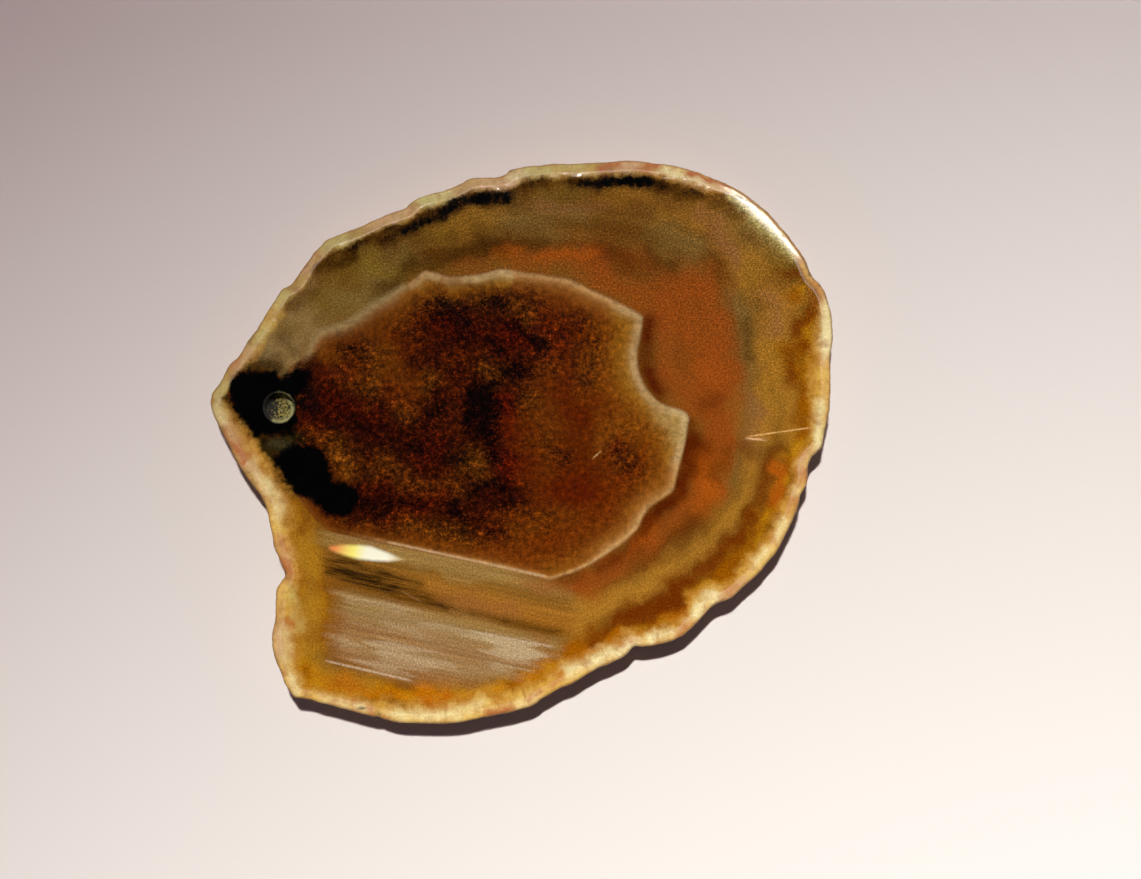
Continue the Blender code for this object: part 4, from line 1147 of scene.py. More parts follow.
def pattern(mesh, verts, kind, starts):
    """Writes the drawn pattern on the mesh, one number per point and layer."""
    top_start, low_start, bore_start = starts
    points = to_drawing(verts[:, :2])
    # the layers lean a little through the stone, so the underside shows them slightly shifted
    depth = (THICKNESS - verts[:, 2]) / THICKNESS
    seen = points + np.stack([5.0 * depth, -3.5 * depth], 1)
    far, share, place = rind_share(points)
    line_far, which, along = nearest(seen, LINE_LOOP, closed=True)
    within = inside(seen, LINE_LOOP)
    line = np.where(within, -line_far, line_far)
    nxt = (which + 1) % len(LINE_LOOP)
    strength = LINE_LOOP[which, 2] * (1 - along) + LINE_LOOP[nxt, 2] * along
    half = LINE_LOOP[which, 3] * (1 - along) + LINE_LOOP[nxt, 3] * along
    slope = np.array([1.0, LAYER_SLOPE]) / math.hypot(1.0, LAYER_SLOPE)
    rel = seen - np.array(LAYER_POINT)
    run = rel @ slope
    below = rel @ np.array([-slope[1], slope[0]])
    gap = far / np.maximum(share, 1e-6)
    rind_gap = np.maximum(far - gap, 0.0)
    between = np.clip(np.maximum(line, 0.0) / np.maximum(np.maximum(line, 0.0) + rind_gap, 1e-3), 0.0, 1.0)
    wander_shadow = wandered(wandered(seen, 0.8, 5.0, 11), 0.3, 3.0, 12)
    layer_slide = noise_at(below / 5.0, run / 200.0, np.full(len(seen), 23.0))
    layers = {
        "rim_far": far,
        "rind": share,
        "line": line,
        "line_strength": strength,
        "line_half": half,
        "run": run,
        "below": below,
        "between": between,
        "place": place,
        "lens": signed(seen, LENS),
        "layers": signed(wandered(seen, 1.6, 5.0, 13) + slope * (10.0 * layer_slide)[:, None], LAYERS),
        # painted shadow of the rind in the inner zone's two corners by the bore
        "rind_shadow": np.maximum(signed(wander_shadow, RIND_SHADOW_TIP), signed(wander_shadow, RIND_SHADOW_LOW)),
        "wall": (kind == 1.0).astype(float),
        "bore": (kind == 2.0).astype(float),
        "height": verts[:, 2] * 1000,
    }
    # the arris belongs half to the wall
    wall = layers["wall"]
    wall[kind == 1.0] = np.clip((THICKNESS - verts[kind == 1.0, 2] - TOP_EDGE_DEPTH * 0.25) / (TOP_EDGE_DEPTH * 1.2), 0.0, 1.0)
    a, b = facet_line
    way = (b - a) / np.linalg.norm(b - a)
    beyond = (points[:, 0] - a[0]) * way[1] - (points[:, 1] - a[1]) * way[0]
    chord = (points - a) @ way
    layers["flat"] = np.clip(beyond / 10.0 + 0.6, 0.0, 1.0) * np.clip((np.minimum(chord, np.linalg.norm(b - a) - chord) - 1.0) / 10.0, 0.0, 1.0)
    loose = wandered(wandered(seen, 1.7, 9.0, 3), 0.6, 4.0, 5)
    slide = noise_at(below / 7.0, run / 160.0, np.full(len(seen), 21.0)) + 0.5 * noise_at(below / 4.0, run / 110.0, np.full(len(seen), 22.0))
    true = wandered(seen, 3.0, 1.6, 7) + slope * (30.0 * slide)[:, None]
    drawn_out = wandered(seen, 2.2, 2.2, 15) + slope * (16.0 * slide)[:, None]
    tight = wandered(seen, 0.7, 2.5, 6)
    for name, strokes in STROKES.items():
        layers["p_" + name] = painted(drawn_out if name == "streak" else true if name in ("pale", "lilac") else tight if name in ("patch", "rind_shadow_top", "glint_edge", "pool", "shade_halo", "redbrown") else seen if name in ("bore_lit", "ring", "edge") else loose, strokes)
    rough_points = wandered(wandered(points, 0.9, 5.0, 8), 0.35, 3.0, 9)
    for name, strokes in RIND_STROKES.items():
        layers["r_" + name] = painted(rough_points, strokes)
    for name, values in layers.items():
        attribute = mesh.attributes.new(name, "FLOAT", "POINT")
        attribute.data.foreach_set("value", values.astype(np.float32))


# ---------------------------------------------------------------- materials
FLOOR_COLOUR = (0.74, 0.707, 0.692)


def shown(r, g, b, x=521.6, y=442.4):
    """The linear colour of stone that shows as this colour, 0 to 255, in the studio light at that place in the drawing."""

    def linear(v):
        v /= 255.0
        return v / 12.92 if v <= 0.04045 else ((v + 0.055) / 1.055) ** 2.4

    right, down = (x - CENTRE[0]) / 300, (y - CENTRE[1]) / 300
    lit = (0.775 + 0.080 * right + 0.155 * down, 0.695 + 0.0795 * right + 0.1535 * down, 0.6535 + 0.0725 * right + 0.140 * down)
    return tuple(min(0.95, max(0.0002, linear(v) - 0.0015) / k * a) for v, k, a in zip((r, g, b), lit, FLOOR_COLOUR)) + (1.0,)


class Tree:
    """A short way to write a node tree."""

    def __init__(self, material):
        material.use_nodes = True
        self.tree = material.node_tree
        self.tree.nodes.clear()
        self.x = 0

    def node(self, kind, **values):
        n = self.tree.nodes.new(kind)
        self.x += 1
        n.location = ((self.x % 40) * 180, -(self.x // 40) * 300)
        for k, v in values.items():
            setattr(n, k, v)
        return n

    def put(self, socket, value):
        if isinstance(value, bpy.types.NodeSocket):
            self.tree.links.new(value, socket)
        elif value is not None:
            socket.default_value = value

    def attr(self, name):
        n = self.node("ShaderNodeAttribute", attribute_name=name, attribute_type="GEOMETRY")
        return n.outputs["Fac"]

    def math(self, op, a, b=None, c=None, clamp=False):
        n = self.node("ShaderNodeMath", operation=op, use_clamp=clamp)
        for s, v in zip(n.inputs, (a, b, c)):
            self.put(s, v)
        return n.outputs[0]

    def add(self, a, b):
        return self.math("ADD", a, b)

    def mul(self, a, b):
        return self.math("MULTIPLY", a, b)

    def sub(self, a, b):
        return self.math("SUBTRACT", a, b)

    def step(self, value, low, high, to_low=0.0, to_high=1.0, soft=True):
        n = self.node("ShaderNodeMapRange", interpolation_type="SMOOTHSTEP" if soft else "LINEAR", clamp=True)
        for s, v in zip(n.inputs, (value, low, high, to_low, to_high)):
            self.put(s, v)
        return n.outputs[0]

    def noise(self, where, scale, detail=2.0, rough=0.5, warp=0.0, dims="3D", w=None):
        n = self.node("ShaderNodeTexNoise", noise_dimensions=dims)
        if where is not None:
            self.put(n.inputs["Vector"], where)
        if w is not None:
            self.put(n.inputs["W"], w)
        self.put(n.inputs["Scale"], scale)
        self.put(n.inputs["Detail"], detail)
        self.put(n.inputs["Roughness"], rough)
        self.put(n.inputs["Distortion"], warp)
        return n.outputs["Fac"]

    def mix(self, share, a, b, how="MIX"):
        n = self.node("ShaderNodeMix", data_type="RGBA", blend_type=how, clamp_factor=True)
        self.put(n.inputs[0], share)
        self.put(n.inputs[6], a)
        self.put(n.inputs[7], b)
        return n.outputs[2]

    def blend(self, share, a, b):
        n = self.node("ShaderNodeMix", data_type="FLOAT", clamp_factor=True)
        self.put(n.inputs[0], share)
        self.put(n.inputs[2], a)
        self.put(n.inputs[3], b)
        return n.outputs[0]

    def ramp(self, value, stops, how="EASE"):
        n = self.node("ShaderNodeValToRGB")
        n.color_ramp.interpolation = how
        elements = n.color_ramp.elements
        while len(elements) > 1:
            elements.remove(elements[-1])
        elements[0].position, elements[0].color = stops[0]
        for position, colour in stops[1:]:
            elements.new(position).color = colour
        self.put(n.inputs[0], value)
        return n.outputs["Color"]

    def combine(self, x, y, z):
        n = self.node("ShaderNodeCombineXYZ")
        for s, v in zip(n.inputs, (x, y, z)):
            self.put(s, v)
        return n.outputs[0]


def stone_material():
    material = bpy.data.materials.new("agate")
    t = Tree(material)
    where = t.node("ShaderNodeTexCoord").outputs["Object"]
    mm = t.node("ShaderNodeVectorMath", operation="SCALE")
    t.put(mm.inputs[0], where)
    mm.inputs["Scale"].default_value = 1000.0
    mm = mm.outputs[0]

    big = t.noise(mm, 0.28, 3.0, 0.55)
    mid = t.noise(mm, 0.9, 3.0, 0.6)
    fine = t.noise(mm, 2.6, 3.0, 0.62)
    grain = t.noise(mm, 7.0, 2.0, 0.7)
    warp = t.noise(mm, 1.5, 3.0, 0.55)
    speck = t.sub(t.noise(mm, 5.5, 1.0, 0.85), 0.5)

    rind, line, below, run = t.attr("rind"), t.attr("line"), t.attr("below"), t.attr("run")
    between, strength = t.attr("between"), t.attr("line_strength")
    inward = t.mul(line, -1.0)

    def layer(colour_in, name, colour, by=None, rough=1.2, most=1.0, low=0.0, high=1.0):
        share = t.mul(t.attr(name), t.add(1.0 - 0.5 * rough, t.mul(mid if by is None else by, rough)))
        return t.mix(t.step(share, low, high, 0.0, most, soft=False), colour_in, colour)

    def scaled(colour_in, by):
        return t.mix(1.0, colour_in, t.combine(by, by, by), "MULTIPLY")

    # outer zone: bands that follow the line and the rind
    bent = t.add(between, t.mul(t.sub(warp, 0.5), 0.09))
    band = t.noise(None, 24.0, 2.0, 0.65, dims="1D", w=bent)
    slow = t.noise(None, 5.0, 1.0, 0.5, dims="1D", w=t.add(bent, 3.0))
    outer = t.mix(t.step(slow, 0.3, 0.7), shown(95, 58, 17, 600, 230), shown(113, 74, 25, 600, 230))
    outer = layer(outer, "p_greyol", shown(120, 95, 46, 420, 270))
    outer = layer(outer, "p_olive", shown(122, 94, 30, 600, 260))
    outer = layer(outer, "p_tan", shown(164, 112, 36, 720, 380), high=0.9)
    outer = layer(outer, "p_blush", shown(140, 92, 52, 730, 270), high=0.9)
    outer = layer(outer, "p_sand", shown(150, 122, 76, 270, 340), high=0.9)
    outer = layer(outer, "p_terra", shown(144, 71, 21, 700, 380), rough=0.6, high=0.9)
    outer = layer(outer, "p_redbrown", shown(84, 30, 3, 650, 380), high=0.9)
    amber = t.mix(t.step(t.noise(mm, 0.42, 1.5, 0.5), 0.38, 0.62), shown(152, 86, 6, 560, 600), shown(192, 130, 21, 560, 600))
    outer = layer(outer, "p_amber", amber, rough=0.8, high=0.8)
    outer = layer(outer, "p_gold", shown(204, 120, 12, 430, 694), rough=0.8)
    outer = layer(outer, "p_ochre", shown(158, 112, 34, 310, 580), rough=0.8)
    outer = layer(outer, "p_orange", shown(178, 86, 18, 700, 480), rough=0.9)
    outer = layer(outer, "p_core", shown(112, 48, 2, 700, 570), rough=0.9, high=1.05)
    # partly painted shadow of the rind just inside its top edge, partly dark streaks of the stone
    outer = layer(outer, "p_dark", shown(52, 29, 4, 500, 210), by=fine, high=0.85)
    # near-black painted shadow of the rind along the top, seen through the stone
    outer = layer(outer, "p_rind_shadow_top", shown(3, 1, 0, 500, 200), by=fine, rough=2.2, low=0.25, high=0.8)
    # painted yellow-green edge of the glint on the ground flat
    outer = layer(outer, "p_glint_edge", shown(176, 156, 88, 755, 220), by=fine)
    outer = scaled(outer, t.step(band, 0.3, 0.72, 0.94, 1.05))

    # inner zone: pale at the line, then olive or orange-brown, then dark brown
    straight = t.step(below, -42.0, -12.0, soft=False)
    depth = t.add(inward, t.mul(t.mul(t.math("MINIMUM", t.math("MAXIMUM", inward, 0.0), 5.0), 2.2), straight))
    wavy = t.add(depth, t.mul(t.sub(warp, 0.5), 9.0))
    plain = t.ramp(t.math("DIVIDE", t.math("MAXIMUM", wavy, depth), 64.0), ((0.0, shown(108, 58, 18, 500, 300)), (0.25, shown(94, 44, 10, 500, 320)), (0.6, shown(82, 33, 6)), (1.0, shown(74, 28, 5))))
    lined = t.ramp(
        t.math("DIVIDE", t.add(depth, 2.0), 64.0),
        (
            (0.0, shown(160, 114, 66, 520, 300)),
            (0.05, shown(184, 140, 88, 520, 300)),
            (0.11, shown(158, 108, 56, 520, 300)),
            (0.2, shown(128, 74, 26, 520, 300)),
            (0.35, shown(106, 50, 12, 520, 310)),
            (0.62, shown(103, 41, 7)),
            (1.0, shown(90, 34, 6)),
        ),
        "LINEAR",
    )
    bright = t.ramp(
        t.math("DIVIDE", t.add(depth, 2.0), 64.0),
        (
            (0.0, shown(150, 112, 70, 640, 370)),
            (0.05, shown(188, 158, 110, 640, 370)),
            (0.11, shown(194, 163, 110, 640, 370)),
            (0.16, shown(170, 134, 70, 640, 370)),
            (0.23, shown(152, 109, 38, 640, 370)),
            (0.33, shown(134, 85, 22, 640, 370)),
            (0.46, shown(116, 61, 11, 640, 380)),
            (0.66, shown(108, 50, 8, 600, 400)),
            (1.0, shown(105, 42, 7, 560, 420)),
        ),
        "LINEAR",
    )
    inner = t.mix(t.step(strength, 0.0, 0.95), plain, lined)
    inner = t.mix(t.step(t.attr("p_bright"), 0.1, 0.7), inner, bright)
    inner = layer(inner, "p_glow", shown(140, 84, 20, 600, 400), most=0.75)
    ringed = t.noise(None, 0.13, 2.0, 0.6, dims="1D", w=t.add(inward, t.mul(t.sub(warp, 0.5), 22.0)))
    inner = scaled(inner, t.step(ringed, 0.3, 0.7, 0.84, 1.1))
    inner = layer(inner, "p_pool", shown(172, 138, 80, 670, 425), by=fine, rough=0.8, most=0.9)
    cloud = t.add(t.mul(t.sub(mid, 0.5), 1.0), t.add(t.mul(t.sub(fine, 0.5), 0.9), t.add(t.mul(t.sub(grain, 0.5), 0.7), t.mul(speck, 0.9))))
    murk = t.add(t.attr("p_mottle"), cloud)
    inner = t.mix(t.mul(t.step(murk, 0.0, 0.85, 0.0, 0.92), t.step(t.attr("p_mottle"), 0.0, 0.25)), inner, shown(38, 10, 2))
    inner = layer(inner, "p_inner_brown", shown(104, 56, 12, 400, 440), by=fine, most=0.85)
    inner = layer(inner, "p_inner_red", shown(80, 15, 5), by=fine, most=0.85)
    clot = t.add(t.attr("p_inner_dark"), t.add(t.mul(t.sub(fine, 0.5), 1.5), t.add(t.mul(t.sub(grain, 0.5), 1.3), t.mul(speck, 1.6))))
    inner = t.mix(t.mul(t.step(clot, 0.15, 1.05, 0.0, 0.95), t.step(t.attr("p_inner_dark"), 0.02, 0.25)), inner, shown(6, 2, 0))
    coarse = t.add(t.step(depth, 6.0, 30.0, 2.4, 5.2), t.mul(t.mul(t.step(depth, 6.0, 34.0), t.step(t.attr("p_mottle"), -0.1, 0.75)), 9.5))

    # straight layers
    streaky = t.noise(t.combine(t.mul(run, 0.009), t.mul(below, 0.26), 0.0), 1.0, 4.0, 0.66)
    dashes = t.noise(t.combine(t.mul(run, 0.022), t.mul(below, 0.4), 7.0), 1.0, 3.0, 0.65)
    layered = t.ramp(
        t.math("DIVIDE", t.add(below, t.mul(t.sub(streaky, 0.5), 14.0)), 140.0),
        (
            (0.0, shown(152, 112, 56, 440, 560)),
            (0.08, shown(156, 118, 60, 440, 560)),
            (0.14, shown(134, 92, 34, 440, 575)),
            (0.23, shown(162, 106, 36, 460, 590)),
            (0.31, shown(158, 101, 33, 480, 600)),
            (0.385, shown(134, 84, 24, 460, 612)),
            (0.44, shown(154, 116, 60, 420, 610)),
            (0.52, shown(158, 126, 76, 420, 625)),
            (0.64, shown(154, 110, 64, 440, 645)),
            (0.76, shown(160, 120, 70, 400, 655)),
            (0.86, shown(154, 106, 60, 420, 670)),
            (1.0, shown(156, 98, 40, 400, 680)),
        ),
        "LINEAR",
    )
    layered = t.mix(t.step(t.add(t.attr("p_greytan"), t.mul(t.sub(streaky, 0.5), 0.4)), 0.05, 1.0, 0.0, 0.8), layered, shown(158, 124, 68, 440, 565))
    layered = t.mix(t.step(t.add(t.attr("p_lilac"), t.mul(t.sub(streaky, 0.5), 0.5)), 0.05, 1.0, 0.0, 0.75), layered, shown(160, 126, 84, 420, 630))
    layered = scaled(layered, t.step(streaky, 0.28, 0.72, 0.82, 1.18))
    layered = t.mix(t.step(t.mul(t.attr("p_rosy"), t.add(0.3, t.mul(streaky, 1.4))), 0.0, 0.9, 0.0, 0.85, soft=False), layered, shown(152, 96, 46, 540, 600))
    layered = t.mix(t.step(t.mul(t.attr("p_streak"), t.add(-0.4, t.mul(dashes, 2.8))), 0.0, 1.05, 0.0, 0.96, soft=False), layered, shown(34, 20, 4, 380, 575))
    layered = t.mix(t.mul(t.step(dashes, 0.56, 0.8, 0.0, 0.25), t.step(below, 50.0, 75.0, 0.2, 1.0)), layered, shown(188, 160, 118, 440, 640))
    layered = t.mix(t.step(t.mul(t.attr("p_pale"), t.add(0.3, t.mul(streaky, 1.4))), 0.0, 1.05, 0.0, 0.9, soft=False), layered, shown(208, 182, 142, 470, 650))
    in_layers = t.mul(t.step(below, 0.0, 3.0), t.step(line, -1.0, 2.0))
    in_layers = t.mul(in_layers, t.step(t.add(t.attr("layers"), t.mul(t.sub(streaky, 0.5), 14.0)), -12.0, 10.0))
    outer = t.mix(in_layers, outer, layered)

    within = t.step(t.add(line, t.mul(t.sub(fine, 0.5), 2.4)), 3.2, 0.0)
    c = t.mix(within, outer, inner)
    c = layer(c, "p_edge", shown(142, 120, 78, 360, 310), by=fine, rough=0.8)

    # thin bright lines in the straight layers, and the crack, painted bright as light caught in it, and the scratch
    def thin_line(colour_in, a, b, half, colour, most=1.0):
        ax, ay = (a[0] - CENTRE[0]) / MM, (CENTRE[1] - a[1]) / MM
        bx, by = (b[0] - CENTRE[0]) / MM, (CENTRE[1] - b[1]) / MM
        length = math.hypot(bx - ax, by - ay)
        ux, uy = (bx - ax) / length, (by - ay) / length
        rel = t.node("ShaderNodeVectorMath", operation="SUBTRACT")
        t.put(rel.inputs[0], mm)
        rel.inputs[1].default_value = (ax, ay, 0.0)
        dot = t.node("ShaderNodeVectorMath", operation="DOT_PRODUCT")
        t.put(dot.inputs[0], rel.outputs[0])
        dot.inputs[1].default_value = (ux, uy, 0.0)
        cross = t.node("ShaderNodeVectorMath", operation="DOT_PRODUCT")
        t.put(cross.inputs[0], rel.outputs[0])
        cross.inputs[1].default_value = (-uy, ux, 0.0)
        off = t.math("ABSOLUTE", cross.outputs["Value"])
        ends = t.mul(t.step(dot.outputs["Value"], -0.1, 0.5), t.step(dot.outputs["Value"], length + 0.1, length - 0.7))
        share = t.mul(t.step(off, half / MM * 1.7, half / MM * 0.2), ends)
        share = t.mul(share, t.step(fine, 0.2, 0.6, most * 0.55, most))
        share = t.mul(share, t.step(t.attr("height"), 1.0, 3.6))
        return t.mix(share, colour_in, colour)

    c = thin_line(c, (386, 541.6), (549, 577.3), 1.2, shown(196, 158, 116, 470, 560), 0.8)
    c = thin_line(c, (325, 660.4), (414, 681.0), 1.1, shown(208, 180, 146, 370, 670), 0.75)
    c = thin_line(c, (468, 630.5), (556, 647.4), 1.2, shown(206, 182, 154, 510, 640), 0.5)
    c = thin_line(c, (350, 598), (432, 614), 1.0, shown(176, 150, 110, 390, 606), 0.35)
    c = thin_line(c, (372, 640), (450, 655), 1.0, shown(190, 164, 138, 410, 648), 0.3)
    c = thin_line(c, (486, 661), (536, 672), 1.2, shown(200, 174, 130, 510, 666), 0.4)
    c = thin_line(c, (350, 622), (430, 640), 1.0, shown(176, 148, 112, 390, 630), 0.4)
    c = thin_line(c, (400, 590), (424, 603), 0.9, shown(176, 136, 86, 410, 596), 0.3)

    # the two darkest corners, painted shadow of the rind seen through the stone, with ragged edges and painted shade
    # round them, and the grey patch between them
    ragged = t.add(t.attr("rind_shadow"), t.add(t.mul(t.sub(fine, 0.5), 9.0), t.mul(t.sub(grain, 0.5), 7.0)))
    c = layer(c, "p_shade_halo", shown(34, 28, 8, 260, 365), by=fine, rough=1.4, most=0.95)
    c = t.mix(t.step(ragged, -5.5, 2.0), c, shown(3, 1, 0))
    c = t.mix(t.step(t.add(t.attr("p_patch"), t.mul(t.sub(grain, 0.5), 1.4)), 0.3, 1.2, 0.0, 0.85), c, shown(70, 66, 42, 276, 444))

    # cracks, painted bright as light caught in the fractures, and the scratch
    c = thin_line(c, (748, 436.5), (813, 427.2), 0.75, shown(232, 178, 104, 790, 430), 0.95)
    c = thin_line(c, (744, 438.0), (768, 440.3), 1.1, shown(230, 178, 124, 756, 439), 1.0)
    c = thin_line(c, (592.0, 459.0), (602.0, 450.0), 0.8, shown(186, 144, 88, 597, 454), 1.0)

    # rind: golden and cream, brightest on the lower and right sides, partly a painted glow of light passing through the
    # stone; painted shade makes it olive and less golden along the upper left; blending into the stone
    lobes = t.noise(mm, 0.62, 2.0, 0.5)
    edge_noise = t.add(t.mul(t.sub(lobes, 0.5), 0.9), t.add(t.mul(t.sub(mid, 0.5), 0.7), t.mul(t.sub(fine, 0.5), 0.5)))
    ragged_rind = t.add(rind, edge_noise)
    crust = t.mix(t.step(mid, 0.38, 0.6), shown(228, 182, 90, 600, 620), shown(198, 136, 54, 600, 620))
    shaded_crust = t.mix(t.step(mid, 0.36, 0.62), shown(160, 130, 62, 300, 275), shown(144, 106, 50, 300, 275))
    crust = t.mix(t.attr("r_shade"), crust, shaded_crust)
    crust = t.mix(t.step(t.noise(mm, 1.9, 2.0, 0.6), 0.5, 0.7, 0.0, 0.6), crust, scaled(crust, 1.22))

    def stain(colour_in, name, colour, most=1.0, rough=1.6):
        share = t.mul(t.attr(name), t.add(1.0 - 0.5 * rough, t.mul(fine, rough)))
        return t.mix(t.step(share, 0.0, 0.9, 0.0, most, soft=False), colour_in, colour)

    crust = stain(crust, "r_yellow", shown(232, 182, 72, 600, 620))
    crust = stain(crust, "r_green", shown(180, 164, 98, 430, 200))
    crust = stain(crust, "r_pink", shown(190, 146, 104, 480, 186))
    crust = stain(crust, "r_white", shown(250, 230, 166, 640, 620))
    crust = stain(crust, "r_rust", shown(178, 96, 34, 600, 400))
    # thin stained seams that run in from the edge
    seams = t.noise(t.combine(t.mul(t.attr("place"), 110.0), t.mul(rind, 0.6), 0.0), 1.0, 2.0, 0.6)
    crust = t.mix(t.step(seams, 0.56, 0.74, 0.0, 0.6), crust, shown(172, 104, 36, 600, 600))
    crust = stain(crust, "r_spot", shown(56, 32, 12, 450, 600))
    inner_edge = t.step(ragged_rind, 0.35, 1.0)
    crust = t.mix(t.mul(inner_edge, t.mul(0.75, t.sub(1.0, t.attr("r_shade")))), crust, shown(188, 124, 26, 640, 600))
    # a thin darker line at the very edge of the rind: painted shade of the edge
    crust = t.mix(t.mul(t.step(t.attr("rim_far"), 3.2, 0.4), t.step(fine, 0.35, 0.6, 0.25, 0.8)), crust, shown(150, 104, 54, 520, 442))
    pits = t.step(t.noise(mm, 5.0, 3.0, 0.7), 0.55, 0.78, 0.0, 0.5)
    crust = t.mix(pits, crust, scaled(crust, 0.6))
    on_rind = t.step(ragged_rind, 1.32, 0.74)
    c = t.mix(on_rind, c, crust)

    # the stone's own fine grain, strongest in the dark heart
    grit = t.blend(on_rind, t.blend(within, t.step(below, -180.0, -300.0, 2.6, 4.4), coarse), 0.8)
    flecks = t.sub(t.blend(within, t.noise(mm, 6.5, 1.0, 0.9), t.noise(mm, 2.0, 3.0, 0.95)), 0.5)
    c = scaled(c, t.math("POWER", 2.0, t.mul(flecks, grit)))
    c = scaled(c, t.step(t.add(t.mul(grain, 0.75), t.mul(fine, 0.25)), 0.3, 0.7, 0.87, 1.13, soft=False))

    # the bright flaw: a painted highlight, orange at its left tip and white in the middle, of light reflected off a
    # healed flaw
    lens = t.attr("lens")
    flaw_highlight = t.mix(t.step(run, -50.0, -26.0), shown(236, 140, 78, 340, 550), shown(255, 240, 120, 355, 552))
    flaw_highlight = t.mix(t.step(run, -30.0, -12.0), flaw_highlight, (0.95, 0.95, 0.76, 1.0))
    flaw_highlight = t.mix(t.step(run, 4.0, 22.0), flaw_highlight, shown(214, 186, 130, 400, 560))
    c = t.mix(t.step(t.add(lens, t.mul(t.sub(fine, 0.5), 1.2)), -1.8, 2.8), c, flaw_highlight)

    # the rough outside of the stone
    wall = t.attr("wall")
    skin = t.mix(t.step(mid, 0.3, 0.7), shown(150, 106, 62, 500, 600), shown(194, 152, 100, 500, 600))
    skin = t.mix(t.step(fine, 0.5, 0.75, 0.0, 0.6), skin, shown(118, 74, 38, 500, 600))
    skin = t.mix(t.step(grain, 0.55, 0.8, 0.0, 0.6), skin, shown(214, 186, 140, 500, 600))
    skin = t.mix(t.step(big, 0.5, 0.72, 0.0, 0.6), skin, shown(150, 88, 48, 500, 600))
    c = t.mix(wall, c, skin)

    # the drilled hole: frosted olive where light falls on its lower right, painted near-black elsewhere as shade and in
    # dark specks, with a painted highlight along its right-hand and lower rim
    frost = t.add(t.attr("p_bore_lit"), t.mul(t.sub(t.noise(mm, 5.2, 2.0, 0.85), 0.5), 4.4))
    bore_lit_and_shade = t.mix(t.step(frost, 0.35, 1.35), shown(12, 9, 3, 280, 405), shown(138, 121, 60, 280, 405))
    c = t.mix(t.attr("bore"), c, bore_lit_and_shade)
    c = t.mix(t.step(t.mul(t.attr("p_ring"), t.add(0.3, t.add(t.mul(fine, 1.1), speck))), 0.1, 1.0, 0.0, 0.95), c, shown(168, 162, 108, 290, 408))

    rough = t.add(t.mul(on_rind, t.step(fine, 0.3, 0.8, 0.05, 0.14)), t.step(mid, 0.4, 0.8, 0.07, 0.1))
    rough = t.blend(t.attr("flat"), rough, t.step(fine, 0.3, 0.7, 0.19, 0.27))
    # the saw-worn arris is matt, and narrower along the ground flat
    worn = t.blend(t.attr("flat"), t.step(t.attr("rim_far"), 11.5, 8.0), t.step(t.attr("rim_far"), 3.4, 1.6))
    rough = t.blend(worn, rough, 0.75)
    rough = t.blend(wall, rough, 0.82)
    rough = t.blend(t.attr("bore"), rough, t.step(t.attr("height"), 2.95, 3.1, 0.95, 0.7))

    bump = t.node("ShaderNodeBump")
    bump.inputs["Strength"].default_value = 0.5
    bump.inputs["Distance"].default_value = 0.00004
    height = t.mul(t.noise(mm, 6.0, 4.0, 0.65), t.math("MAXIMUM", t.mul(on_rind, 0.45), t.mul(wall, 1.6)))
    t.put(bump.inputs["Height"], height)

    shader = t.node("ShaderNodeBsdfPrincipled")
    t.put(shader.inputs["Base Color"], c)
    t.put(shader.inputs["Roughness"], rough)
    shader.inputs["IOR"].default_value = 1.54
    t.put(shader.inputs["Normal"], bump.outputs[0])
    out = t.node("ShaderNodeOutputMaterial")
    t.tree.links.new(shader.outputs[0], out.inputs[0])
    return material


def floor_material():
    material = bpy.data.materials.new("pale_floor")
    t = Tree(material)
    shader = t.node("ShaderNodeBsdfPrincipled")
    shader.inputs["Base Color"].default_value = FLOOR_COLOUR + (1.0,)
    shader.inputs["Roughness"].default_value = 0.9
    shader.inputs["Specular IOR Level"].default_value = 0.1
    out = t.node("ShaderNodeOutputMaterial")
    t.tree.links.new(shader.outputs[0], out.inputs[0])
    return material


# ---------------------------------------------------------------- build
mesh, verts, kind, starts = stone()
pattern(mesh, verts, kind, starts)
mesh.materials.append(stone_material())
slice_piece = bpy.data.objects.new("agate_stone", mesh)
bpy.context.scene.collection.objects.link(slice_piece)
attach(slice_piece, "root")
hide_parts("agate_slice")

floor_mesh = bpy.data.meshes.new("floor")
floor_mesh.from_pydata([(-4, -4, -0.00001), (4, -4, -0.00001), (4, 4, -0.00001), (-4, 4, -0.00001)], [], [(0, 1, 2, 3)])
floor_mesh.materials.append(floor_material())
floor = bpy.data.objects.new("floor", floor_mesh)
bpy.context.scene.collection.objects.link(floor)


# ---------------------------------------------------------------- light
def aim(obj, target):
    way = Vector(target) - obj.location
    obj.rotation_mode = "QUATERNION"
    obj.rotation_quaternion = way.to_track_quat("-Z", "Y")


KEY = Vector((-0.036, 0.3401, 0.9395)).normalized()

sun = bpy.data.lights.new("key_sun", "SUN")
sun.energy = 0.97
sun.angle = math.radians(1.6)
sun.color = (1.0, 0.71, 0.685)
sun_object = bpy.data.objects.new("key_sun", sun)
sun_object.location = KEY * 1.0
aim(sun_object, (0, 0, 0))
bpy.context.scene.collection.objects.link(sun_object)

pool = bpy.data.lights.new("key_pool", "SPOT")
pool.energy = 63.0
pool.spot_size = math.radians(30)
pool.spot_blend = 1.0
pool.shadow_soft_size = 0.014
pool.color = (0.963, 1.0, 0.932)
pool_object = bpy.data.objects.new("key_pool", pool)
pool_object.location = KEY * 1.0
aim(pool_object, (0.080, -0.200, 0.0))
bpy.context.scene.collection.objects.link(pool_object)

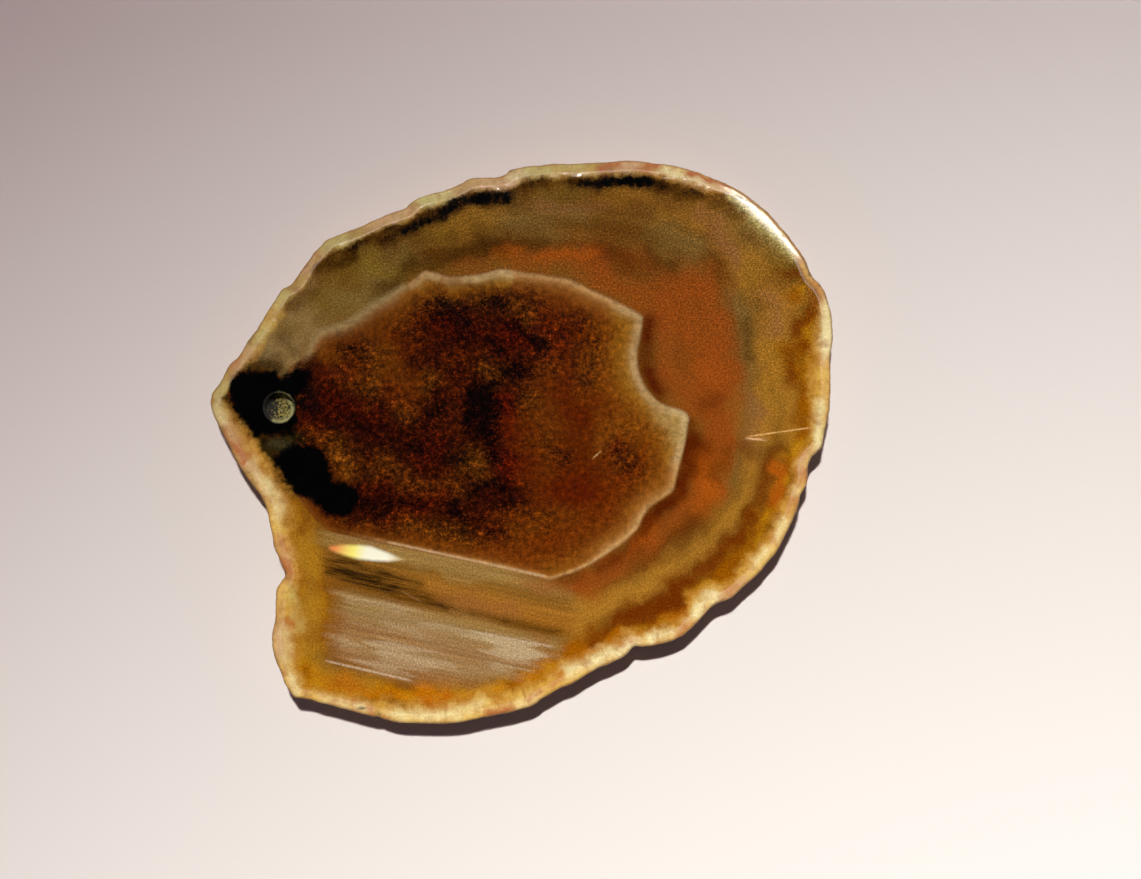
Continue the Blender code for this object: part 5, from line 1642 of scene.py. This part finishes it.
# a small lamp that only the ground flat at the round end mirrors towards the camera
glint = bpy.data.lights.new("glint", "AREA")
glint.shape = "DISK"
glint.size = 0.08
glint.energy = 1.35
glint.color = (1.0, 0.97, 0.86)
glint_object = bpy.data.objects.new("glint", glint)
glint_object.location = Vector((0.0201, 0.0178, 0.004)) + Vector((0.3592, 0.3856, 0.850)).normalized() * 0.5
aim(glint_object, (0.0201, 0.0178, 0.004))
glint_object.visible_diffuse = False
bpy.context.scene.collection.objects.link(glint_object)

world = bpy.data.worlds.new("studio")
world.use_nodes = True
nodes, links = world.node_tree.nodes, world.node_tree.links
nodes.clear()
coords = nodes.new("ShaderNodeTexCoord")
split = nodes.new("ShaderNodeSeparateXYZ")
links.new(coords.outputs["Generated"], split.inputs[0])
ramp = nodes.new("ShaderNodeValToRGB")
ramp.color_ramp.interpolation = "EASE"
ramp.color_ramp.elements[0].position = 0.0
ramp.color_ramp.elements[0].color = (0.265, 0.212, 0.288, 1.0)
ramp.color_ramp.elements[1].position = 0.62
ramp.color_ramp.elements[1].color = (0.015, 0.012, 0.0165, 1.0)
middle = ramp.color_ramp.elements.new(0.22)
middle.color = (0.187, 0.149, 0.204, 1.0)
links.new(split.outputs["Z"], ramp.inputs[0])
background = nodes.new("ShaderNodeBackground")
links.new(ramp.outputs["Color"], background.inputs["Color"])
background.inputs["Strength"].default_value = 1.0
output = nodes.new("ShaderNodeOutputWorld")
links.new(background.outputs[0], output.inputs["Surface"])
bpy.context.scene.world = world

# ---------------------------------------------------------------- camera
camera = bpy.data.cameras.new("camera")
camera.sensor_fit = "HORIZONTAL"
camera.sensor_width = 36.0
camera.angle = math.radians(23.6)
camera.clip_start = 0.01
camera.clip_end = 20.0
camera_object = bpy.data.objects.new("camera", camera)
camera_object.location = (0.00394, 0.00023, 0.004 + 0.220)
camera_object.rotation_euler = (0.0, 0.0, 0.0)
bpy.context.scene.collection.objects.link(camera_object)
bpy.context.scene.camera = camera_object
bpy.context.scene.view_settings.view_transform = "Standard"
